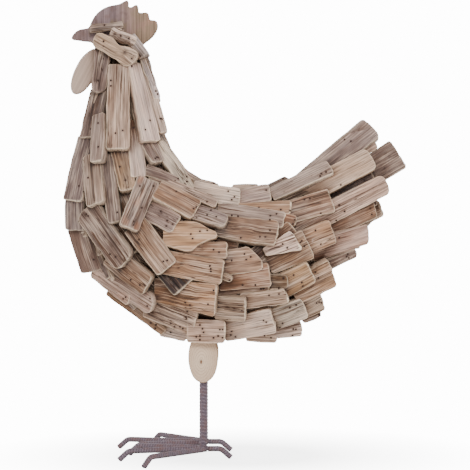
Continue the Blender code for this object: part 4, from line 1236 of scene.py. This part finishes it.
groups = {"grain": weatheredGrain(), "wear": edgeWearAndHighlight(), "dust": softDust()}


def newMaterial(name):
    material = bpy.data.materials.new(name)
    material.use_nodes = True
    tree = material.node_tree
    return material, tree, tree.nodes["Principled BSDF"]


def useGroup(tree, name, **inputs):
    return addNode(tree, "ShaderNodeGroup", {"node_tree": groups[name]}, **inputs)


def attribute(tree, name, output):
    return addNode(tree, "ShaderNodeAttribute", {"attribute_name": name}).outputs[output]


def finishMaterial(tree, shader, colour, rough, height, strength, distance, gloss=0.3):
    tree.links.new(colour, shader.inputs["Base Color"])
    tree.links.new(rough, shader.inputs["Roughness"])
    shader.inputs["Specular IOR Level"].default_value = gloss
    bump = addNode(tree, "ShaderNodeBump", None, Strength=strength, Distance=distance, Height=height)
    tree.links.new(bump.outputs[0], shader.inputs["Normal"])


driftwoodLook = {
    "bands": 1.0,
    "fibres": 2.8,
    "lines": 1.05,
    "lineColour": fromScreen(80, 61, 50),
    "cracks": 0.9,
    "crackColour": fromScreen(58, 42, 34),
    "paleColour": fromScreen(236, 212, 190),  # cream in the brightest fibres
    "pale": 0.3,
    "warmTint": (1.0, 0.86, 0.73),  # multiplies the wood where it has gone brown
    "warm": 0.4,
    "greyColour": fromScreen(150, 140, 134),
    "grey": 0.35,
    # near-white cream of worn edges, which also serves as a painted highlight
    "wornColour": fromScreen(253, 230, 208),
    "worn": 1.0,
    "dust": 0.1,
    "bump": 0.6,
}


def driftwoodMaterial(name, look):
    # tone comes with each slat, with its painted crevice shade; grain shades it, patches go grey, cracks go
    # dark, edges go pale with wear and a painted highlight
    material, tree, shader = newMaterial(name)
    place = attribute(tree, "grain", "Vector")
    tone = attribute(tree, "tone", "Color")
    wear = attribute(tree, "wear", "Fac")
    streak = attribute(tree, "streak", "Fac")
    grain = useGroup(tree, "grain", Place=place, Bands=times(tree, streak, look["bands"]),
                     Fibres=look["fibres"], Lines=times(tree, streak, look["lines"]),
                     Cracks=times(tree, streak, look["cracks"]))
    patch = grain.outputs["Patch"]
    shade = times(tree, grain.outputs["Shade"], ramp(tree, patch, 0.3, 0.7, 0.7, 1.26))
    grey = times(tree, ramp(tree, patch, 0.42, 0.68), look["grey"])
    colour = blendColour(tree, grey, tone, look["greyColour"])
    stain = stretchedNoise(tree, place, (30, 95, 95), 3, 0.6)
    stain = ramp(tree, stain, 0.47, 0.66, 0.0, look["warm"])
    colour = blendColour(tree, stain, colour, look["warmTint"], "MULTIPLY")
    colour = shadeBy(tree, colour, shade)
    pale = ramp(tree, shade, 1.05, 1.6, 0.0, look["pale"])
    colour = blendColour(tree, pale, colour, look["paleColour"])
    colour = blendColour(tree, grain.outputs["Line"], colour, look["lineColour"])
    colour = blendColour(tree, grain.outputs["Crack"], colour, look["crackColour"])
    colour = useGroup(tree, "wear", Colour=colour, Worn_Colour=colour4(look["wornColour"]), Wear=wear,
                      Place=place, Amount=look["worn"]).outputs[0]
    colour = useGroup(tree, "dust", Colour=colour, Amount=look["dust"]).outputs[0]
    rough = ramp(tree, shade, 0.6, 1.4, 0.92, 0.74)
    finishMaterial(tree, shader, colour, rough, grain.outputs["Height"], look["bump"], 0.0007)
    return material


boardLook = {
    "colour": fromScreen(126, 110, 110),
    "redder": fromScreen(143, 118, 104),
    "greener": fromScreen(130, 114, 98),
    "darker": fromScreen(106, 88, 84),
}


def boardMaterial():
    # sawn board with upright grain and soft stains, redder towards the back and darker at the beak
    material, tree, shader = newMaterial("sawnBoard")
    place = attribute(tree, "grain", "Vector")
    grain = useGroup(tree, "grain", Place=place, Bands=1.3, Fibres=1.2, Lines=0.5, Cracks=0.3)
    where = objectPlace(tree)
    across, look = axisOf(tree, where, 0), boardLook
    stain = stretchedNoise(tree, where, (75, 75, 45), 3, 0.55)
    colour = blendColour(tree, ramp(tree, across, -0.135, -0.098), look["colour"], look["redder"])
    colour = blendColour(tree, ramp(tree, stain, 0.5, 0.62, 0.0, 0.75), colour, look["greener"])
    colour = blendColour(tree, ramp(tree, stain, 0.46, 0.36, 0.0, 0.8), colour, look["darker"])
    colour = blendColour(tree, ramp(tree, across, -0.158, -0.172, 0.0, 0.6), colour, look["darker"])
    shade = grain.outputs["Shade"]
    colour = shadeBy(tree, colour, shade)
    colour = blendColour(tree, times(tree, grain.outputs["Line"], 0.5), colour, look["darker"])
    rough = ramp(tree, shade, 0.6, 1.4, 0.8, 0.62)
    finishMaterial(tree, shader, colour, rough, grain.outputs["Height"], 0.3, 0.0005)
    return material


sliceLook = {
    "pale": fromScreen(222, 200, 180),
    "ring": fromScreen(172, 146, 124),
    "ringCount": 370.0,
    "bark": fromScreen(150, 122, 100),
    "pith": fromScreen(96, 68, 50),
}


def sliceMaterial():
    # a branch's cut face: growth rings round the pith, a few radial checks, darker towards the bark
    material, tree, shader = newMaterial("cutSlice")
    where = objectPlace(tree)
    pithX = sizes["legX"] + sizes["centreShift"] + thigh["pith"][0]
    pith = (pithX * 0.001, 0, (sizes["thighZ"] + thigh["pith"][1]) * 0.001)
    flat = vectorCalc(tree, "MULTIPLY", vectorCalc(tree, "SUBTRACT", where, pith)[0], (1.35, 0, 0.8))[0]
    away = vectorCalc(tree, "LENGTH", flat)["Value"]
    warp = stretchedNoise(tree, where, (45, 0, 45), 2, 0.5)
    away = calc(tree, "ADD", away, times(tree, calc(tree, "SUBTRACT", warp, 0.5), 0.005))
    thin = ramp(tree, calc(tree, "SINE", times(tree, away, sliceLook["ringCount"] * 6.2832)), 0.1, 1.0)
    fine = stretchedNoise(tree, where, (900, 300, 900), 2, 0.6)
    uneven = ramp(tree, stretchedNoise(tree, where, (110, 0, 110), 2, 0.5), 0.35, 0.65, 0.2, 0.6)
    look = sliceLook
    colour = blendColour(tree, times(tree, thin, uneven), look["pale"], look["ring"])
    colour = blendColour(tree, ramp(tree, away, 0.006, 0.022, 0.0, 0.45), colour, look["ring"])
    colour = blendColour(tree, ramp(tree, away, 0.0008, 0.0026, 0.95, 0.0), colour, look["pith"])
    sideways = calc(tree, "ABSOLUTE", facing(tree, 1))
    colour = blendColour(tree, ramp(tree, sideways, 0.75, 0.3), colour, look["bark"])
    colour = shadeBy(tree, colour, ramp(tree, fine, 0.3, 0.7, 0.86, 1.1))
    height = calc(tree, "ADD", times(tree, thin, -0.35), times(tree, fine, 0.4))
    rough = ramp(tree, fine, 0.3, 0.7, 0.85, 0.7)
    finishMaterial(tree, shader, colour, rough, height, 0.3, 0.0004)
    return material


wattleLook = {"colour": fromScreen(181, 162, 150), "shade": fromScreen(150, 130, 118)}


def wattleMaterial():
    # smooth grey-beige slice with faint grain along its length, and painted shade towards the throat
    material, tree, shader = newMaterial("wattleSlice")
    where = objectPlace(tree)
    turned = addNode(tree, "ShaderNodeMapping", None, Vector=where,
                     Rotation=(0, math.radians(90 + wattle["lean"]), 0)).outputs[0]
    grain = useGroup(tree, "grain", Place=turned, Bands=0.5, Fibres=0.5, Lines=0.15, Cracks=0.0)
    # painted shade: darker towards the throat
    shadeTowardThroat = ramp(tree, axisOf(tree, where, 0), -0.172, -0.154, 0.0, 0.9)
    colour = blendColour(tree, shadeTowardThroat, wattleLook["colour"], wattleLook["shade"])
    shade = grain.outputs["Shade"]
    colour = shadeBy(tree, colour, shade)
    rough = ramp(tree, shade, 0.6, 1.4, 0.8, 0.66)
    finishMaterial(tree, shader, colour, rough, grain.outputs["Height"], 0.2, 0.0004)
    return material


steelLook = {
    "rib": fromScreen(126, 115, 122),
    "hollow": fromScreen(98, 88, 95),
    "rust": fromScreen(112, 84, 76),
    "dark": fromScreen(60, 52, 56),
}


def steelMaterial():
    # bare bar gone brown: mauve-grey mill scale, paler on the ribs, rust in patches, dark in the pits,
    # and painted shade on the undersides
    material, tree, shader = newMaterial("ribbedSteel")
    where = objectPlace(tree)
    rib = attribute(tree, "wear", "Fac")
    patch = stretchedNoise(tree, where, (130, 130, 130), 3, 0.6)
    fine = stretchedNoise(tree, where, (1400, 1400, 1400), 3, 0.65)
    look = steelLook
    colour = blendColour(tree, ramp(tree, rib, 0.1, 0.75), look["hollow"], look["rib"])
    colour = blendColour(tree, ramp(tree, patch, 0.44, 0.68, 0.0, 0.5), colour, look["rust"])
    colour = blendColour(tree, ramp(tree, fine, 0.5, 0.34, 0.0, 0.35), colour, look["dark"])
    # painted shade: darker where the bar faces down
    colour = blendColour(tree, ramp(tree, facing(tree, 2), -0.15, -0.8, 0.0, 0.85), colour, look["dark"])
    rough = ramp(tree, patch, 0.35, 0.7, 0.5, 0.8)
    tree.links.new(ramp(tree, patch, 0.42, 0.62, 0.35, 0.05), shader.inputs["Metallic"])
    finishMaterial(tree, shader, colour, rough, fine, 0.35, 0.0003, 0.4)
    return material


def plainDarkMaterial(name, colour, second, scale, rough, metal):
    # two dark colours mixed by noise
    material, tree, shader = newMaterial(name)
    where = objectPlace(tree)
    patch = stretchedNoise(tree, where, (scale, scale, scale), 3, 0.6)
    mixed = blendColour(tree, ramp(tree, patch, 0.35, 0.65), colour, second)
    shader.inputs["Metallic"].default_value = metal
    uneven = ramp(tree, patch, 0.3, 0.7, rough - 0.08, rough + 0.08)
    finishMaterial(tree, shader, mixed, uneven, patch, 0.3, 0.0004)
    return material


materials = {
    "driftwood": driftwoodMaterial("weatheredDriftwood", driftwoodLook),
    "board": boardMaterial(),
    "slice": sliceMaterial(),
    "wattle": wattleMaterial(),
    "steel": steelMaterial(),
    "nail": plainDarkMaterial("darkNailHead", fromScreen(44, 34, 32), fromScreen(66, 48, 40),
                              900, 0.55, 0.5),
    # a dark inside seen between the slats, as painted shade
    "core": plainDarkMaterial("shadedInside", fromScreen(48, 38, 32), fromScreen(66, 52, 44),
                              120, 0.92, 0.0),
}
print("finishes:", len(materials), "materials and", len(groups), "groups")


# The hen, piece by piece


def outward(skin):
    # turns a skin's faces over if they enclose a negative volume
    points = skin["points"] - skin["points"].mean(axis=0)
    total = 0.0
    for faces in (skin["quads"], skin["triangles"]):
        for k in range(1, faces.shape[1] - 1):
            a, b, c = points[faces[:, 0]], points[faces[:, k]], points[faces[:, k + 1]]
            total += np.einsum("ij,ij->i", a, np.cross(b, c)).sum()
    if total < 0:
        skin["quads"], skin["triangles"] = skin["quads"][:, ::-1], skin["triangles"][:, ::-1]
    return skin


grouped = {zone: [] for zone in ("neck", "nape", "breast", "back", "flank", "belly", "rump", "tail", "head",
                                 "spine", "underside", "tailMiddle", "underLayer")}
nailPlaces, planks, ownPieces = [], [], {}
for far, side in ((False, "left"), (True, "right")):
    counts = {}
    for plank in sideSlats(far):
        zone = plank["zone"]
        if plank["own"]:
            counts[zone] = counts.get(zone, 0) + 1
            ownPieces[len(planks)] = (f"{zone}Slat{side.capitalize()}{counts[zone]}",
                                      f"{zone}_slat_{side}_{counts[zone]}")
        planks.append(plank)
planks += [*closingSlats(), *tailMiddleSlats(), *underSlats()]
skins = [outward(slatSurface(plank)) for plank in planks]
# paints shade into the slats' tones where they lie under their neighbours
paintCreviceShade(planks, skins)
for index, (plank, skin) in enumerate(zip(planks, skins)):
    zone = plank["zone"]
    if zone not in ("tailMiddle", "underLayer"):
        nailPlaces += [(place, skin["out"]) for place in skin["nails"]]
    if index in ownPieces:
        name, node = ownPieces[index]
        makePiece(name, [skin], materials["driftwood"], [node])
    else:
        grouped["head" if zone in ("brow", "cheek", "throat") else zone].append(skin)
for zone, skins in grouped.items():
    makePiece(f"{zone}Slats", skins, materials["driftwood"], ["driftwood_body"])
print("slats:", sum(len(skins) for skins in grouped.values()), "in groups,", len(nailPlaces), "nails")

makePiece("innerCore", [outward(coreSkin())], materials["core"], ["driftwood_body"])
makePiece("nailHeads", [nailSkins(nailPlaces)], materials["nail"])

for side, sign in (("left", -1), ("right", 1)):
    oval = ovalSlice(thigh["width"] / 2, thigh["height"] / 2, thigh["thickness"], thigh["edgeRound"],
                     thigh["squareness"], 3 + sign, 0.12)
    oval["points"] += np.array([sizes["legX"], sign * sizes["legSpacing"] / 2, sizes["thighZ"]])
    makePiece(f"thigh{side.capitalize()}", [outward(oval)], materials["slice"],
              [f"thigh_{side}"])
    nodes = [f"leg_bar_{side}"] + [f"{toe}_toe_{side}" for toe in ("outer", "middle", "inner", "rear")]
    makePiece(f"ribbedFoot{side.capitalize()}", [outward(skin) for skin in legSkins(sign)],
              materials["steel"], nodes)

oval = ovalSlice(wattle["halfWidth"], wattle["halfLength"], sizes["wattleThickness"], wattle["edgeRound"],
                 2.0, 9, 0.1)
middleX, middleZ = wattle["middle"]
oval["points"] = spinY(oval["points"], wattle["lean"]) + np.array([middleX, 0, middleZ])
makePiece("wattleSlice", [outward(oval)], materials["wattle"], ["wattle"])
headBoard(materials["board"])
print("head board, wattle, thighs and feet made")


# Floor, lights and camera

studio = {
    "background": 14.0,  # how bright the white surroundings look to the camera
    "front": 0.2,  # the surroundings' light on the hen, from the camera's side and from behind
    "behind": 2.9,
    "floorGlow": 1.3,
    "key": 58.0,
    "keyPlace": (0.25, -2.15, 1.6),
    "keySize": 1.1,
    "rim": 6.0,
    "rimPlace": (-1.7, -0.9, 0.9),
    "rimSize": 1.0,
    "aim": (0, 0, 0.22),  # where both lights point
    "floorColour": fromScreen(238, 238, 238),
    "floorRough": 0.9,
    "floorRings": 24,
    "floorAround": 64,
    "floorReach": (0.05, 4.0),  # radius of the first ring and of the last
    "floorFade": (0.08, 0.30),  # from paint to glow, by distance from the middle
    "glowLeast": 0.3,  # share of glow beside the hen
}


def softLight(name, place, size, power):
    lamp = bpy.data.lights.new(name, "AREA")
    lamp.shape, lamp.size, lamp.energy = "DISK", size, power
    light = placeObject(name, lamp)
    light.location = place
    light.rotation_euler = (Vector(studio["aim"]) - Vector(place)).to_track_quat("-Z", "Y").to_euler()


softLight("keyLight", studio["keyPlace"], studio["keySize"], studio["key"])
softLight("rimLight", studio["rimPlace"], studio["rimSize"], studio["rim"])


def forCamera(tree, otherwise):
    # the background's brightness where the camera looks straight at it, another value elsewhere
    seen = tree.nodes.new("ShaderNodeLightPath").outputs["Is Camera Ray"]
    return addNode(tree, "ShaderNodeMapRange", None, i0=seen, i1=0.0, i2=1.0, i3=otherwise,
                   i4=studio["background"]).outputs[0]


world = bpy.data.worlds.new("whiteStudio")
bpy.context.scene.world = world
world.use_nodes = True
tree = world.node_tree
tree.nodes.clear()
way = axisOf(tree, tree.nodes.new("ShaderNodeTexCoord").outputs["Generated"], 1)
around = ramp(tree, way, -0.3, 0.8, studio["front"], studio["behind"])
background = addNode(tree, "ShaderNodeBackground", None, Color=(1, 1, 1, 1),
                     Strength=forCamera(tree, around))
worldEnd = tree.nodes.new("ShaderNodeOutputWorld")
tree.links.new(background.outputs[0], worldEnd.inputs[0])


def paleFloor():
    # a wide disc: rings of points at growing radius, pale near the hen and lost in white further out
    around = studio["floorAround"]
    radii = np.append(0.0, np.geomspace(*studio["floorReach"], studio["floorRings"]))
    angle = np.linspace(0, 2 * np.pi, around, endpoint=False)
    disc = radii[:, None, None] * np.stack([np.cos(angle), np.sin(angle), angle * 0], -1)
    grid = np.arange(len(radii) * around).reshape(-1, around)
    faces = ringQuads(grid[1:])[:, ::-1].tolist() + ringFan(grid[1], 0).tolist()
    mesh = bpy.data.meshes.new("paleFloor")
    mesh.from_pydata(disc.reshape(-1, 3).tolist(), [], faces)
    material, tree, shader = newMaterial("paleFloorPaint")
    shader.inputs["Base Color"].default_value = colour4(studio["floorColour"])
    shader.inputs["Roughness"].default_value = studio["floorRough"]
    away = vectorCalc(tree, "LENGTH", objectPlace(tree))["Value"]
    glow = addNode(tree, "ShaderNodeEmission", None, Strength=forCamera(tree, studio["floorGlow"]))
    mixed = addNode(tree, "ShaderNodeMixShader", None, i1=shader.outputs[0], i2=glow.outputs[0],
                    i0=ramp(tree, away, *studio["floorFade"], studio["glowLeast"]))
    tree.links.new(mixed.outputs[0], tree.nodes["Material Output"].inputs[0])
    mesh.materials.append(material)
    floor = placeObject("paleFloor", mesh)


paleFloor()

cameraData = bpy.data.cameras.new("photoCamera")
cameraData.sensor_width = 36.0
cameraData.lens = 139.27  # 1.1 mm of hen to a pixel at its middle plane
camera = placeObject("photoCamera", cameraData)
camera.location = [(v + s) * 0.001 for v, s in zip(sizes["eye"], (sizes["centreShift"], 0, 0))]
camera.rotation_euler = (math.radians(90), 0, 0)
bpy.context.scene.camera = camera
print("floor, lights and camera set")

bpy.context.view_layer.update()
